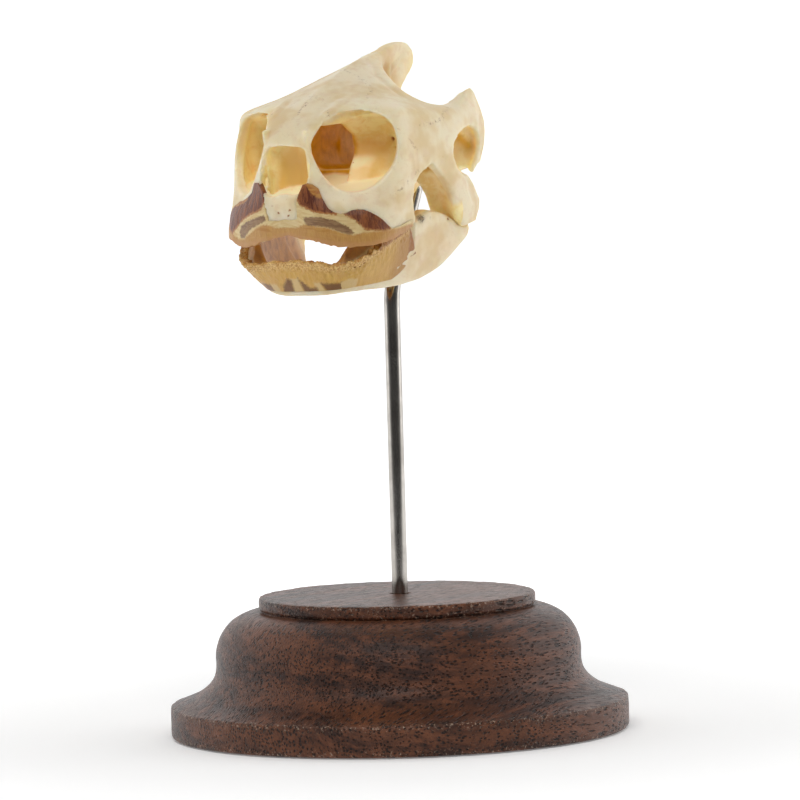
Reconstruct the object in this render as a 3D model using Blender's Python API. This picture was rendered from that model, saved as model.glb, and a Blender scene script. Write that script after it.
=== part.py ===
# Pond turtle skull on a bent steel rod and a turned hardwood base.
# The base, the rod and the whole mount stand upright: +Z is up, the snout faces -Y, and the origin
# is the centre of the base's underside. The skull is drawn in millimetres in a frame of its own,
# whose origin is the front of the upper jaw at its cutting edge, with X to the animal's left,
# Y back along the head and Z up. The empty "skull_frame" scales and tips that frame into place.
import math

import bmesh
import bpy
import numpy as np
from mathutils import Matrix, Vector

MM = 0.001

# Base, in metres, and its turned moulding as (radius, height) in millimetres, from the top plate
# down to the underside.
BASE_HEIGHT = 21.4 * MM
BASE_SEGMENTS = 40
BASE_MOULDING = [
    (20.9, 21.4), (21.4, 21.0), (21.4, 19.6), (21.0, 19.25), (22.4, 19.3), (24.6, 18.6),
    (26.4, 17.3), (27.6, 15.6), (28.35, 13.6), (28.5, 11.4), (28.7, 9.9), (29.3, 8.4),
    (30.9, 6.8), (32.7, 5.9), (34.9, 5.0), (35.5, 4.6), (35.8, 4.1), (35.8, 0.35), (35.45, 0),
]

# Rod, in metres.
ROD_RADIUS = 1.25 * MM
FIT_GAP = 0.35 * MM
HOLE_DEPTH = 12 * MM
ROD_BEND_START = 66.5 * MM
ROD_BEND_END = 71.5 * MM
ROD_BEND_POINTS = 7
ROD_TIP = Vector((1.15, 6.75, 85.4)) * MM

# Where the skull sits on the mount.
SKULL_PLACE = Vector((-0.5, -29.1, 78.6)) * MM
SKULL_PITCH = math.radians(10.6)

# Skull values, in millimetres of its own frame.
BONE_WALL = 1.5
SHEATH_WALL = 0.75
CLEARANCE = 0.38
VOXEL = 0.42
CRANIUM_KEEP = 0.04
MANDIBLE_KEEP = 0.045

# The outer skin of the cranium, as rows from the cutting edge of the upper jaw up to the ridge of
# the roof. Each row runs from the middle of the snout round the left side to the back of the head.
# The columns are: middle, nostril side, bar before the orbit, mid orbit, behind the orbit, cheek,
# front of the ear, ear, and the squamosal bone's hind end.
SKIN_ROWS = [
    [(0, 0, -0.2), (4, -0.1, -1.1), (8, 0.8, -2.2), (12, 2.9, -2.6), (14.1, 6.6, -2.5),
     (14.9, 12.8, -1.6), (15.6, 20, -0.2), (15.9, 27, 0.6), (15.0, 33.6, 3.0)],
    [(0, 0, 3), (3.8, 0.1, 3), (7.4, 1.2, 2.6), (11.4, 3.9, 2.2), (14.3, 8.4, 2.4),
     (15.2, 13.5, 2.8), (16, 21, 3.3), (16.2, 28, 3.2), (15.0, 35.2, 3.8)],
    [(0, 0.1, 5.9), (3.5, 0.5, 6), (6.2, 2.0, 5.8), (10.3, 5.4, 5.5), (14.2, 9.4, 5.8),
     (15.4, 14.4, 6), (16.3, 22, 6.2), (16.5, 28.5, 6), (15.2, 36.8, 6.2)],
    [(0, 1.3, 9.8), (3.4, 1.6, 10), (5.3, 2.9, 9.9), (9.8, 6.9, 9.8), (14.3, 10.8, 9.9),
     (15.5, 15.5, 10), (16.3, 22.5, 9.8), (16.4, 29, 9.6), (15.0, 37.8, 9.4)],
    [(0, 2.4, 13), (2.9, 2.8, 13.3), (4.8, 4.4, 13.5), (9.2, 8.4, 14), (13.7, 12, 13.7),
     (15, 16.8, 13.3), (15.7, 23, 12.6), (15.7, 30, 12.4), (14.7, 37, 12.8)],
    [(0, 5, 15.8), (2.6, 5.3, 15.9), (5, 7, 16.2), (9, 10.3, 16.7), (12.9, 13.3, 16.2),
     (14, 18, 15.1), (14.4, 24.5, 14.0), (14.3, 30, 13.5), (14.4, 35.4, 15.3)],
    [(0, 9, 17.6), (2, 9.6, 17.6), (3.8, 11.5, 17.8), (6.2, 15, 18.1), (8.6, 18.6, 17.7),
     (10.2, 22.5, 16.4), (11.6, 26.5, 14.6), (12.4, 31, 13.7), (13, 34.5, 14.6)],
    [(0, 14, 19.2), (1, 15, 19.2), (2, 17.5, 19.5), (3, 21, 19.8), (4, 25, 19.8),
     (5, 28, 19), (6.4, 30.5, 17.6), (8, 33, 16), (9.5, 34.5, 15)],
    [(0, 18, 20.2), (0, 20, 20.6), (0, 22.5, 21), (0, 25.5, 21.4), (0, 28, 21.6),
     (0, 30.5, 21.6), (0, 33, 21.6), (0, 35, 21.6), (0, 37, 21.6)],
]
SKIN_ALONG = 44
SKIN_ACROSS = 34
SHEATH_ALONG = 26
SHEATH_ACROSS = 4
LOWER_SHEATH_ALONG = 20

# Openings of the cranium.
ORBIT_CENTRE = (9.2, 7.7, 10.7)
ORBIT_RADIUS = 6.05
ORBIT_TURN = math.radians(37)
NARES = [(-2.4, 5.9), (-3.9, 7.4), (-4.1, 10), (-3.2, 12.3), (0, 13),
         (3.2, 12.3), (4.1, 10), (3.9, 7.4), (2.4, 5.9), (0, 5.5)]
CHEEK_NOTCH = [(13.2, -4), (13.1, 2.6), (13.7, 4.5), (15.2, 5.7), (18.6, 6.4), (21, 3.9),
               (23.8, 1.1), (27.4, -2.4), (29, -6)]
TEMPORAL_NOTCH = [(0.95, 47), (1.0, 34), (2.2, 30.5), (4.4, 27.4), (7.4, 25), (10, 24.8),
                  (11.9, 27.4), (12.5, 31), (12.6, 47)]
EAR_NOTCH = [(29.0, 2.7), (31, 3.3), (35, 3.1), (38, 1), (38, -4), (32.6, -2), (30.6, 0.9)]
CREST_PROFILE = [(26, 17), (28, 21.1), (33, 21.6), (38, 22.1), (41.4, 21.2), (42.8, 19.2),
                 (41.6, 17.5), (39.0, 16.3), (37.0, 14.8), (35.6, 12.4), (30, 11)]

# The horny sheath of the upper jaw: height of its upper border on the skin, in rows, by column.
UPPER_SHEATH_TOP = [(0, 0.66), (0.55, 0.68), (0.72, 1.2), (0.86, 2.05), (1.25, 2.3), (1.6, 1.9),
                    (2.0, 1.3), (2.6, 1.15), (3.2, 1.1), (3.7, 0.75), (4.2, 0.42), (4.75, 0.36)]

# The lower jaw, station by station from the chin to its hind end: outer top, outer bottom, wall.
JAW_STATIONS = [
    ((0, -0.6, -4.6), (0, 0.9, -9.9), 3.2),
    ((4, -0.4, -4.8), (3.0, 1.4, -10.0), 3.2),
    ((7.8, 0.5, -5.4), (5.7, 3.4, -10.1), 3.0),
    ((10.6, 2.9, -5.0), (8.0, 7.0, -10.4), 2.8),
    ((12.3, 6.6, -3.6), (9.5, 11.5, -11.0), 2.6),
    ((13.1, 11, -2.6), (10.7, 16.2, -11.4), 2.5),
    ((13.6, 15.5, -1.6), (11.6, 20.0, -11.3), 2.5),
    ((13.9, 20, -1.2), (12.7, 23.0, -10.5), 2.6),
    ((14.3, 23.8, -2.5), (13.8, 25.2, -9.1), 3.0),
    ((14.9, 26.9, -4.9), (14.6, 27.2, -7.5), 4.4),
    ((14.6, 29.6, -5.1), (14.4, 29.2, -6.8), 3.6),
]
JAW_LENGTHWISE = 70
LOWER_SHEATH_END = 5.55
LOWER_SHEATH_BOTTOM = 0.74


def clear_scene():
    for old in list(bpy.data.objects):
        bpy.data.objects.remove(old)


def make_material(name, rgb, roughness, metallic=0.0):
    material = bpy.data.materials.new(name)
    material.use_nodes = True
    shader = material.node_tree.nodes["Principled BSDF"]
    shader.inputs["Base Color"].default_value = (*rgb, 1)
    shader.inputs["Roughness"].default_value = roughness
    shader.inputs["Metallic"].default_value = metallic
    return material


def smooth_at(points, where):
    """Catmull-Rom curve through points, read at parameters that count in points."""
    points = np.asarray(points, float)
    last = len(points) - 1
    where = np.clip(np.atleast_1d(np.asarray(where, float)), 0, last)
    left = np.minimum(where.astype(int), last - 1)
    part = (where - left)[:, None]
    before = points[np.maximum(left - 1, 0)]
    start = points[left]
    end = points[left + 1]
    after = points[np.minimum(left + 2, last)]
    return 0.5 * (
        2 * start
        + (end - before) * part
        + (2 * before - 5 * start + 4 * end - after) * part**2
        + (3 * start - before - 3 * end + after) * part**3
    )


def smooth_line(points, count, closed=False):
    """Count points on the smooth curve through the given ones."""
    if not closed:
        return smooth_at(points, np.linspace(0, len(points) - 1, count))
    ring = list(points[-2:]) + list(points) + list(points[:3])
    return smooth_at(ring, 2 + np.arange(count) * len(points) / count)


def skin_at(along, across):
    """One point of the cranium's outer skin, by column and row number."""
    columns = [smooth_at(row, along)[0] for row in SKIN_ROWS]
    return smooth_at(columns, across)[0]


def mesh_from_grid(grid, name):
    """A sheet from rows of points on the left side, with its mirror image, joined at the middle."""
    bm = bmesh.new()
    for side in (1, -1):
        made = [[bm.verts.new((side * x, y, z)) for x, y, z in row] for row in grid]
        for low, high in zip(made, made[1:]):
            for a, b, c, d in zip(low, low[1:], high[1:], high):
                bm.faces.new((a, b, c, d) if side > 0 else (d, c, b, a))
    bmesh.ops.remove_doubles(bm, verts=bm.verts, dist=1e-4)
    return finish_mesh(bm, name)


def finish_mesh(bm, name):
    mesh = bpy.data.meshes.new(name)
    bm.to_mesh(mesh)
    bm.free()
    return mesh


def add_loops(bm, loops):
    """A closed body through rings of points, with a cap at each end."""
    rings = [[bm.verts.new(point) for point in loop] for loop in loops]
    count = len(rings[0])
    for low, high in zip(rings, rings[1:]):
        for i in range(count):
            bm.faces.new((low[i], low[(i + 1) % count], high[(i + 1) % count], high[i]))
    bm.faces.new(rings[0][::-1])
    bm.faces.new(rings[-1])


def body_of_loops(loops, name):
    bm = bmesh.new()
    add_loops(bm, loops)
    bmesh.ops.recalc_face_normals(bm, faces=bm.faces)
    return finish_mesh(bm, name)


def body_of_halves(stations, name, count=26):
    """A two-sided body: each station is a distance back and the left half of its outline."""
    loops = []
    for back, half in stations:
        left = smooth_line([(x, 0, z) for x, z in half], count)
        ring = [(x, back, z) for x, _, z in left]
        loops.append(ring + [(-x, back, z) for x, _, z in left[-2:0:-1]])
    return body_of_loops(loops, name)


def prism(outline, axis, start, end, name):
    """An outline pushed along an axis: 'x' takes (y, z) points, 'y' (x, z) and 'z' (x, y)."""
    place = {
        "x": lambda a, b, d: (d, a, b),
        "y": lambda a, b, d: (a, d, b),
        "z": lambda a, b, d: (a, b, d),
    }[axis]
    return body_of_loops([[place(a, b, d) for a, b in outline] for d in (start, end)], name)


def ball(centre, radii, name, turn=None):
    bm = bmesh.new()
    bmesh.ops.create_uvsphere(bm, u_segments=24, v_segments=16, radius=1)
    matrix = Matrix.Translation(centre) @ (turn or Matrix()) @ Matrix.Diagonal((*radii, 1))
    bmesh.ops.transform(bm, matrix=matrix, verts=bm.verts)
    return finish_mesh(bm, name)


def limb(path, name, sides=16):
    """A round-sectioned body along a path of (point, radius) stations."""
    points = smooth_line([(*point, radius) for point, radius in path], 6 * len(path))
    loops = []
    for i, (x, y, z, radius) in enumerate(points):
        ahead = Vector(points[min(i + 1, len(points) - 1)][:3])
        behind = Vector(points[max(i - 1, 0)][:3])
        turn = (ahead - behind).to_track_quat("Z", "Y")
        ring = [Vector((math.cos(a), math.sin(a), 0)) * radius
                for a in np.arange(sides) * 2 * math.pi / sides]
        loops.append([Vector((x, y, z)) + turn @ v for v in ring])
    return body_of_loops(loops, name)


def mirrored(mesh):
    copy = mesh.copy()
    copy.transform(Matrix.Scale(-1, 4, (1, 0, 0)))
    copy.flip_normals()
    return copy


def both_sides(mesh):
    return [mesh, mirrored(mesh)]


def add_object(mesh, name, parent=None, material=None):
    obj = bpy.data.objects.new(name, mesh)
    bpy.context.scene.collection.objects.link(obj)
    obj.parent = parent
    if material:
        mesh.materials.clear()
        mesh.materials.append(material)
    return obj


def evaluated_mesh(obj):
    """The object's mesh after its modifiers, and the object removed."""
    graph = bpy.context.evaluated_depsgraph_get()
    mesh = bpy.data.meshes.new_from_object(obj.evaluated_get(graph))
    bpy.data.objects.remove(obj)
    return mesh


def joined(meshes, name):
    bm = bmesh.new()
    for mesh in meshes:
        bm.from_mesh(mesh)
    return finish_mesh(bm, name)


def cut(mesh, cutters):
    """The mesh with each cutter taken away by an exact Boolean."""
    for cutter in cutters:
        body = add_object(mesh, "body")
        tool = add_object(cutter, "tool")
        add_boolean(body, tool)
        mesh = evaluated_mesh(body)
        bpy.data.objects.remove(tool)
    return mesh


def add_boolean(obj, cutter):
    boolean = obj.modifiers.new("cut_" + cutter.name, "BOOLEAN")
    boolean.operation = "DIFFERENCE"
    boolean.solver = "EXACT"
    boolean.object = cutter


def thickened(mesh, thickness, offset):
    """A sheet given a wall: offset -1 grows it inwards, 1 outwards."""
    obj = add_object(mesh, "sheet")
    wall = obj.modifiers.new("wall", "SOLIDIFY")
    wall.thickness = thickness
    wall.offset = offset
    wall.use_rim = True
    return evaluated_mesh(obj)


def hide_cutter(obj):
    obj.hide_render = True
    obj.display_type = "WIRE"
    obj.hide_set(True)


def add_bone_modifiers(obj, cutters, keep):
    """One skin round the joined bodies, smoothed, thinned out and then opened by the cutters."""
    remesh = obj.modifiers.new("one_skin", "REMESH")
    remesh.mode = "VOXEL"
    remesh.voxel_size = VOXEL
    soften = obj.modifiers.new("soften", "SMOOTH")
    soften.factor = 0.5
    soften.iterations = 2
    thin = obj.modifiers.new("thin_out", "DECIMATE")
    thin.ratio = keep
    for cutter in cutters:
        add_boolean(obj, cutter)
        hide_cutter(cutter)


def shade(obj):
    obj.data.shade_smooth()
    obj.data.set_sharp_from_angle(angle=math.radians(35))


def base_profile():
    """The turned outline of the base, from its hole round the outside to the underside."""
    hole = ROD_RADIUS + FIT_GAP
    floor = BASE_HEIGHT - HOLE_DEPTH
    outside = [(radius * MM, height * MM) for radius, height in BASE_MOULDING]
    return [(0, floor), (hole, floor), (hole, BASE_HEIGHT)] + outside + [(0, 0)]


def turned(profile, segments, name):
    """A body turned round the Z axis from a profile that starts and ends on the axis."""
    bm = bmesh.new()
    centre_top = bm.verts.new((0, 0, profile[0][1]))
    centre_low = bm.verts.new((0, 0, profile[-1][1]))
    angles = [2 * math.pi * i / segments for i in range(segments)]
    rings = [[bm.verts.new((r * math.cos(a), r * math.sin(a), z)) for a in angles]
             for r, z in profile[1:-1]]
    for i in range(segments):
        j = (i + 1) % segments
        bm.faces.new((centre_top, rings[0][i], rings[0][j]))
        bm.faces.new((centre_low, rings[-1][j], rings[-1][i]))
        for inner, outer in zip(rings, rings[1:]):
            bm.faces.new((inner[i], outer[i], outer[j], inner[j]))
    bmesh.ops.recalc_face_normals(bm, faces=bm.faces)
    return finish_mesh(bm, name)


def make_base():
    wood = make_material("dark_walnut", (0.072, 0.030, 0.018), 0.42)
    base = add_object(turned(base_profile(), BASE_SEGMENTS, "base"), "base", material=wood)
    shade(base)


def rod_route():
    """The middle line of the rod: straight up, one smooth bend, then straight to its tip."""
    foot = Vector((0, 0, BASE_HEIGHT - HOLE_DEPTH + FIT_GAP))
    start = Vector((0, 0, ROD_BEND_START))
    knee = Vector((0, 0, (ROD_BEND_START + ROD_BEND_END) / 2))
    lean = (ROD_TIP - knee).normalized()
    end = knee + lean * (knee.z - ROD_BEND_START)
    route = [foot]
    for i in range(ROD_BEND_POINTS):
        t = i / (ROD_BEND_POINTS - 1)
        route.append(start * (1 - t) ** 2 + knee * 2 * t * (1 - t) + end * t**2)
    return route + [ROD_TIP]


def make_rod():
    curve = bpy.data.curves.new("rod", "CURVE")
    curve.dimensions = "3D"
    curve.bevel_depth = ROD_RADIUS
    curve.bevel_resolution = 4
    curve.use_fill_caps = True
    spline = curve.splines.new("POLY")
    route = rod_route()
    spline.points.add(len(route) - 1)
    for point, place in zip(spline.points, route):
        point.co = (*place, 1)
    spline.use_smooth = True
    curve.materials.append(make_material("brushed_steel", (0.42, 0.41, 0.39), 0.32, 1.0))
    bpy.context.scene.collection.objects.link(bpy.data.objects.new("rod", curve))


def to_skull(point):
    """A point of the mount, in metres, in the skull's own millimetres."""
    return Matrix.Rotation(-SKULL_PITCH, 3, "X") @ (Vector(point) - SKULL_PLACE) / MM


def rod_hole():
    """The drilled hole that takes the rod's tip, a little wider than the rod."""
    tip = to_skull(ROD_TIP)
    way = (tip - to_skull(rod_route()[-2])).normalized()
    wide = (ROD_RADIUS + FIT_GAP) / MM
    return limb([(tip - way * 9, wide), (tip - way * 4, wide), (tip + way * CLEARANCE, wide)],
                "rod_hole")


def cranium_skin():
    alongs = np.linspace(0, len(SKIN_ROWS[0]) - 1, SKIN_ALONG)
    acrosses = np.linspace(0, len(SKIN_ROWS) - 1, SKIN_ACROSS)
    columns = np.array([smooth_at(row, alongs) for row in SKIN_ROWS])
    grid = np.array([smooth_at(columns[:, j], acrosses) for j in range(SKIN_ALONG)])
    return mesh_from_grid(grid.transpose(1, 0, 2), "skin")


def orbit_cutter():
    turn = Matrix.Rotation(ORBIT_TURN, 4, "Z") @ Matrix.Rotation(math.radians(-4), 4, "X")
    bm = bmesh.new()
    bmesh.ops.create_cone(bm, cap_ends=True, segments=32, radius1=ORBIT_RADIUS,
                          radius2=ORBIT_RADIUS * 1.02, depth=7)
    lay = Matrix.Rotation(math.radians(90), 4, "X")
    squash = Matrix.Diagonal((1.05, 1, 0.97, 1))
    matrix = Matrix.Translation(ORBIT_CENTRE) @ turn @ squash @ lay
    bmesh.ops.transform(bm, matrix=matrix, verts=bm.verts)
    return finish_mesh(bm, "orbit")


def face_openings():
    """The nostril opening and both orbits."""
    nares = [(x, z) for x, _, z in smooth_line([(x, 0, z) for x, z in NARES], 30, closed=True)]
    return [prism(nares, "y", -3, 4.6, "nares")] + both_sides(orbit_cutter())


def side_openings():
    """The notches of the cheek and the temple and the ear opening, on both sides."""
    cheek = prism(CHEEK_NOTCH, "x", 11, 20, "cheek")
    temple = prism(TEMPORAL_NOTCH, "z", 12.0, 30, "temple")
    ear = ball((18.0, 29.2, 6.6), (4.4, 4.4, 4.3), "ear")
    hind_notch = prism(EAR_NOTCH, "x", 11, 20, "hind_notch")
    return [side for cutter in (cheek, temple, ear, hind_notch) for side in both_sides(cutter)]


def braincase():
    """The box of the brain under the roof, waisted at mid height, with its cavity open at both ends."""
    shell = body_of_halves([
        (16.5, [(0, 5.2), (3.6, 5.4), (4.6, 8), (4.4, 11), (5.2, 14), (7.2, 17.4), (3, 18.6), (0, 18.9)]),
        (21, [(0, 2.2), (5, 2.6), (5.4, 7), (4.8, 11), (5.4, 14), (7.4, 17.3), (3.4, 19), (0, 19.8)]),
        (26, [(0, 0.6), (5.4, 1.2), (6, 6), (5.2, 10.5), (4.8, 13), (4.4, 16.5), (2.8, 19.2), (0, 20.6)]),
        (31, [(0, -0.4), (4.6, 0.2), (6.4, 5), (5.6, 9), (4.4, 12), (2.6, 15), (1.5, 18.5), (0, 20.8)]),
        (36.2, [(0, -0.8), (3.2, -0.4), (4.8, 3), (4.6, 8), (3.8, 11), (2, 13.6), (1.0, 15.5), (0, 16)]),
    ], "braincase")
    cavity = body_of_halves([
        (14, [(0, 6.8), (2.6, 7), (3.3, 9), (3.2, 11), (3.4, 13.5), (3.6, 15.6), (1.6, 16.6), (0, 16.8)]),
        (24, [(0, 5.4), (2.8, 5.6), (3.8, 8), (3.7, 10), (3.4, 12), (3, 15), (1.6, 16.4), (0, 16.6)]),
        (33, [(0, 4.6), (2, 4.8), (3.2, 6.6), (3.2, 8), (3, 10), (2.2, 11.4), (1, 12), (0, 12.1)]),
        (39, [(0, 4.8), (1.8, 5), (2.8, 6.8), (2.8, 8), (2.4, 9.6), (1.6, 10.8), (0.8, 11.2), (0, 11.3)]),
    ], "brain_cavity")
    return cut(shell, [cavity])


def palate():
    """The roof of the mouth: broad behind the beak, waisted between the jaw muscles."""
    return body_of_halves([
        (1.2, [(0, 1.2), (4, 1.0), (7.6, 0.6), (7.8, 2.4), (4, 4.2), (0, 4.6)]),
        (4.5, [(0, 1.6), (6, 1.6), (11.2, 0.4), (11.4, 2.6), (6, 4.4), (0, 4.9)]),
        (9, [(0, 2.6), (6.5, 2.2), (13, 0.6), (13.3, 3.2), (7, 4.2), (0, 5.0)]),
        (13, [(0, 2.8), (5, 2.2), (10.6, 1.2), (11, 3.2), (6.2, 4.4), (0, 5.2)]),
        (17, [(0, 2.2), (3.6, 1.8), (7.0, 1.4), (7.4, 3.0), (5.6, 5.0), (0, 6.0)]),
        (22, [(0, 0.8), (3.6, 0.6), (6.8, 0.4), (7.2, 2.2), (5.6, 4.6), (0, 5.6)]),
        (27, [(0, -0.4), (4.2, -0.4), (8.4, -1.0), (9.0, 1.2), (6, 4), (0, 5)]),
        (31, [(0, -0.8), (3.6, -0.9), (5.6, -1.2), (6, 1.4), (5, 4), (0, 5)]),
    ], "palate")


def side_pieces():
    """The pieces that come in pairs inside the cranium, drawn on the left."""
    pillar = body_of_loops([
        smooth_line([(3.7, 2.6, z), (4.7, 3.6, z), (4.2, 6.6, z), (3.4, 7.6, z), (3.0, 5, z)],
                    14, closed=True)
        for z in (3.2, 7, 11, 15.2)
    ], "prefrontal")
    orbit_floor = body_of_loops([
        smooth_line([(4, 4 + lift, z), (9.4, 6.6 + lift, z), (13.2, 10.8 + lift, z),
                     (12, 15, z), (5.5, 14, z)], 18, closed=True)
        for z, lift in ((2.4, 0), (4.1, 0.4))
    ], "orbit_floor")
    otic = body_of_loops([
        smooth_line([(x, back, low), (x, front, low + 2.2), (x, front + 0.4, high - 2),
                     (x, (front + back) / 2 + 1, high), (x, back, high - 2.4)], 16, closed=True)
        for x, front, back, low, high in (
            (3.6, 25, 35.4, 1.8, 13), (7, 25, 35.4, 1.6, 12.2),
            (11, 25.2, 36, 2.2, 12.6), (14.2, 25.4, 36.6, 3.2, 13.4))
    ], "otic")
    quadrate = body_of_loops([
        smooth_line([(inner, back, z), (inner + 0.4, front + 0.8, z),
                     ((inner + outer) / 2, front + 1.2, z), (outer, front, z),
                     (outer, back, z)], 18, closed=True)
        for z, inner, outer, front, back in (
            (8, 8, 16.0, 24, 31), (4.4, 7, 16.1, 21.4, 29.8), (2.6, 7.6, 16.1, 22.6, 29.4),
            (0.6, 8.8, 16.0, 24.4, 30.9), (-1.8, 10.6, 16.0, 26.6, 32.0),
            (-3.6, 11.8, 15.8, 27.2, 31.4), (-4.6, 12.6, 15.2, 27.6, 30.4))
    ], "quadrate")
    tuber = ball((2.3, 34.4, -0.4), (2.4, 2.6, 1.6), "tuber")
    tooth_ridge = limb([((0, 1.0, 0.9), 0.9), ((4, 1.0, 0.7), 0.9), ((8, 1.9, 0.4), 0.9),
                        ((11.2, 4.2, 0.4), 0.85), ((13.0, 8, 0.5), 0.8), ((13.8, 12.4, 0.9), 0.8)],
                       "jaw_rim")
    return pillar, orbit_floor, otic, quadrate, tuber, tooth_ridge


def crest():
    outline = [(y, z) for _, y, z in
               smooth_line([(0, y, z) for y, z in CREST_PROFILE], 44, closed=True)]
    return prism(outline, "x", -0.95, 0.95, "crest")


def sheath_patch(bottom, top_margin, end):
    """The part of the cranium's skin that the upper sheath covers."""
    columns = np.linspace(0, end, SHEATH_ALONG)
    stops, heights = zip(*UPPER_SHEATH_TOP)
    tops = np.interp(columns, stops, heights) + top_margin
    steps = np.linspace(0, 1, SHEATH_ACROSS)
    grid = [[skin_at(s, bottom + (top - bottom) * step) for s, top in zip(columns, tops)]
            for step in steps]
    return mesh_from_grid(grid, "sheath_patch")


def upper_sheath_mesh():
    """The horny sheath: a thin wall on the front and sides of the upper jaw."""
    return thickened(sheath_patch(0, 0, UPPER_SHEATH_TOP[-1][0]), SHEATH_WALL, -1)


def sheath_room(mesh, name, frame):
    """A cutter a little larger than a sheath, so that the bone under it stays clear of it."""
    room = add_object(mesh, name, frame)
    grow = room.modifiers.new("clearance", "DISPLACE")
    grow.strength = CLEARANCE
    grow.mid_level = 0
    return room


def make_cranium(frame, bone):
    shell = cut(thickened(cranium_skin(), BONE_WALL, -1), side_openings())
    pillar, orbit_floor, otic, quadrate, tuber, tooth_ridge = side_pieces()
    ear = ball((18.4, 29.2, 6.6), (6.2, 4.4, 4.2), "ear_hollow")
    gutter = limb([((18, 29.2, 5), 2.6), ((17.9, 29.0, 1.4), 2.2), ((18.2, 29.4, -1.6), 2.0)],
                  "ear_gutter")
    quadrate = cut(quadrate, [ear, gutter])
    otic = cut(otic, [ear.copy()])
    condyle = ball((0, 36.4, 3.2), (1.9, 2.2, 1.5), "condyle")
    vomer = limb([((0, 1.4, 4.4), 1.1), ((0, 5, 5.0), 1.0), ((0, 12, 4.6), 0.8)], "vomer")
    pieces = [shell, braincase(), palate(), condyle, vomer, crest()]
    for pair in (pillar, orbit_floor, otic, quadrate, tuber, tooth_ridge):
        pieces += both_sides(pair)
    room = sheath_room(upper_sheath_mesh(), "upper_sheath_room", frame)
    cutters = [room] + [add_object(mesh, "cranium_" + mesh.name.split(".")[0], frame)
                        for mesh in [rod_hole()] + face_openings()]
    cranium = add_object(joined(pieces, "cranium"), "cranium", frame, bone)
    add_bone_modifiers(cranium, cutters, CRANIUM_KEEP)
    shade(cranium)


def make_upper_sheath(frame, horn):
    sheath = add_object(upper_sheath_mesh(), "upper_beak_sheath", frame, horn)
    shade(sheath)


def jaw_station(where):
    """Outer top, outer bottom, wall and the way inwards at one place along the lower jaw."""
    tops = [top for top, _, _ in JAW_STATIONS]
    lows = [low for _, low, _ in JAW_STATIONS]
    top = Vector(smooth_at(tops, where)[0])
    low = Vector(smooth_at(lows, where)[0])
    wall = float(np.interp(where, range(len(JAW_STATIONS)), [w for _, _, w in JAW_STATIONS]))
    step = 0.05
    ahead = Vector(smooth_at(tops, where + step)[0]) - Vector(smooth_at(tops, where - step)[0])
    inward = Vector((-ahead.y, ahead.x, 0)).normalized()
    if where < step:
        inward = Vector((0, 1, 0))
    return top, low, wall, inward


def jaw_ring(where):
    """The closed outline of the lower jaw's section, rounded by its extra points."""
    top, low, wall, inward = jaw_station(where)
    out = -0.25 * inward
    lift = Vector((0, 0, 0.15))
    return [
        top + inward * wall * 0.12, top.lerp(low, 0.08) + out * 0.3,
        top.lerp(low, 0.35) + out, top.lerp(low, 0.7) + out, low.lerp(top, 0.06) + out * 0.3,
        low + inward * wall * 0.4 - lift, low.lerp(top, 0.1) + inward * wall * 0.85,
        low.lerp(top, 0.5) + inward * wall * 0.72, top.lerp(low, 0.12) + inward * wall,
        top.lerp(low, 0.03) + inward * wall * 0.7,
    ]


def lengthwise_loops(ring, places):
    """Rings along the left side, then the same rings mirrored, so that the body is a whole U."""
    left = [ring(where) for where in places]
    right = [[Vector((-p.x, p.y, p.z)) for p in loop] for loop in left]
    return left[::-1] + right[1:]


def lower_sheath_ring(where):
    """The lower sheath's section: a wall outside the jaw that turns in over the jaw's edge."""
    top, low, wall, inward = jaw_station(where)
    fade = min(1.0, max(0.25, (LOWER_SHEATH_END - where) / 1.4))
    foot = top.lerp(low, LOWER_SHEATH_BOTTOM * fade**0.35)
    out = -0.3 * inward
    up = Vector((0, 0, 0.35))
    skin = inward * (SHEATH_WALL - 0.3)
    shelf = inward * wall * 0.7
    down = Vector((0, 0, -0.55))
    return [
        foot + out, top.lerp(foot, 0.5) + out, top + out * 0.8 + up, top + inward * 0.6 + up,
        top + shelf + up * 0.1, top + shelf + down, top + skin + down * 1.1,
        top.lerp(foot, 0.5) + skin, foot + skin,
    ]


def lower_sheath_mesh():
    places = np.linspace(0, LOWER_SHEATH_END, LOWER_SHEATH_ALONG)
    return body_of_loops(lengthwise_loops(lower_sheath_ring, places), "lower_sheath")


def make_lower_sheath(frame, horn):
    sheath = add_object(lower_sheath_mesh(), "lower_beak_sheath", frame, horn)
    shade(sheath)


def make_mandible(frame, bone):
    places = np.linspace(0, len(JAW_STATIONS) - 1, JAW_LENGTHWISE)
    body = body_of_loops(lengthwise_loops(jaw_ring, places), "jaw")
    room = sheath_room(lower_sheath_mesh(), "lower_sheath_room", frame)
    mandible = add_object(body, "mandible", frame, bone)
    add_bone_modifiers(mandible, [room], MANDIBLE_KEEP)
    shade(mandible)


def make_skull():
    frame = bpy.data.objects.new("skull_frame", None)
    bpy.context.scene.collection.objects.link(frame)
    frame.location = SKULL_PLACE
    frame.rotation_euler = (SKULL_PITCH, 0, 0)
    frame.scale = (MM, MM, MM)
    bone = make_material("bone", (0.80, 0.70, 0.52), 0.45)
    horn = make_material("horny_sheath", (0.45, 0.26, 0.11), 0.4)
    make_cranium(frame, bone)
    make_upper_sheath(frame, horn)
    make_mandible(frame, bone)
    make_lower_sheath(frame, horn)


clear_scene()
make_base()
make_rod()
make_skull()
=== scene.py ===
# %% [markdown]
# # A pond turtle's skull on a turned wooden stand
# The object is a cleaned skull with the horny sheaths still on its jaws, held by a bent steel rod
# over a round walnut base. The script loads the solid model as a frame and dresses it: each piece
# is drawn again with enough points for its rims, edges and pores, and gets a finish built from
# procedural nodes. Nothing is painted from a picture, so every pattern has a size in millimetres.

# %% Load the solid model
import math
import bmesh
import bpy
import numpy as np
from mathutils import Matrix, Vector
from mathutils.bvhtree import BVHTree


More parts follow.
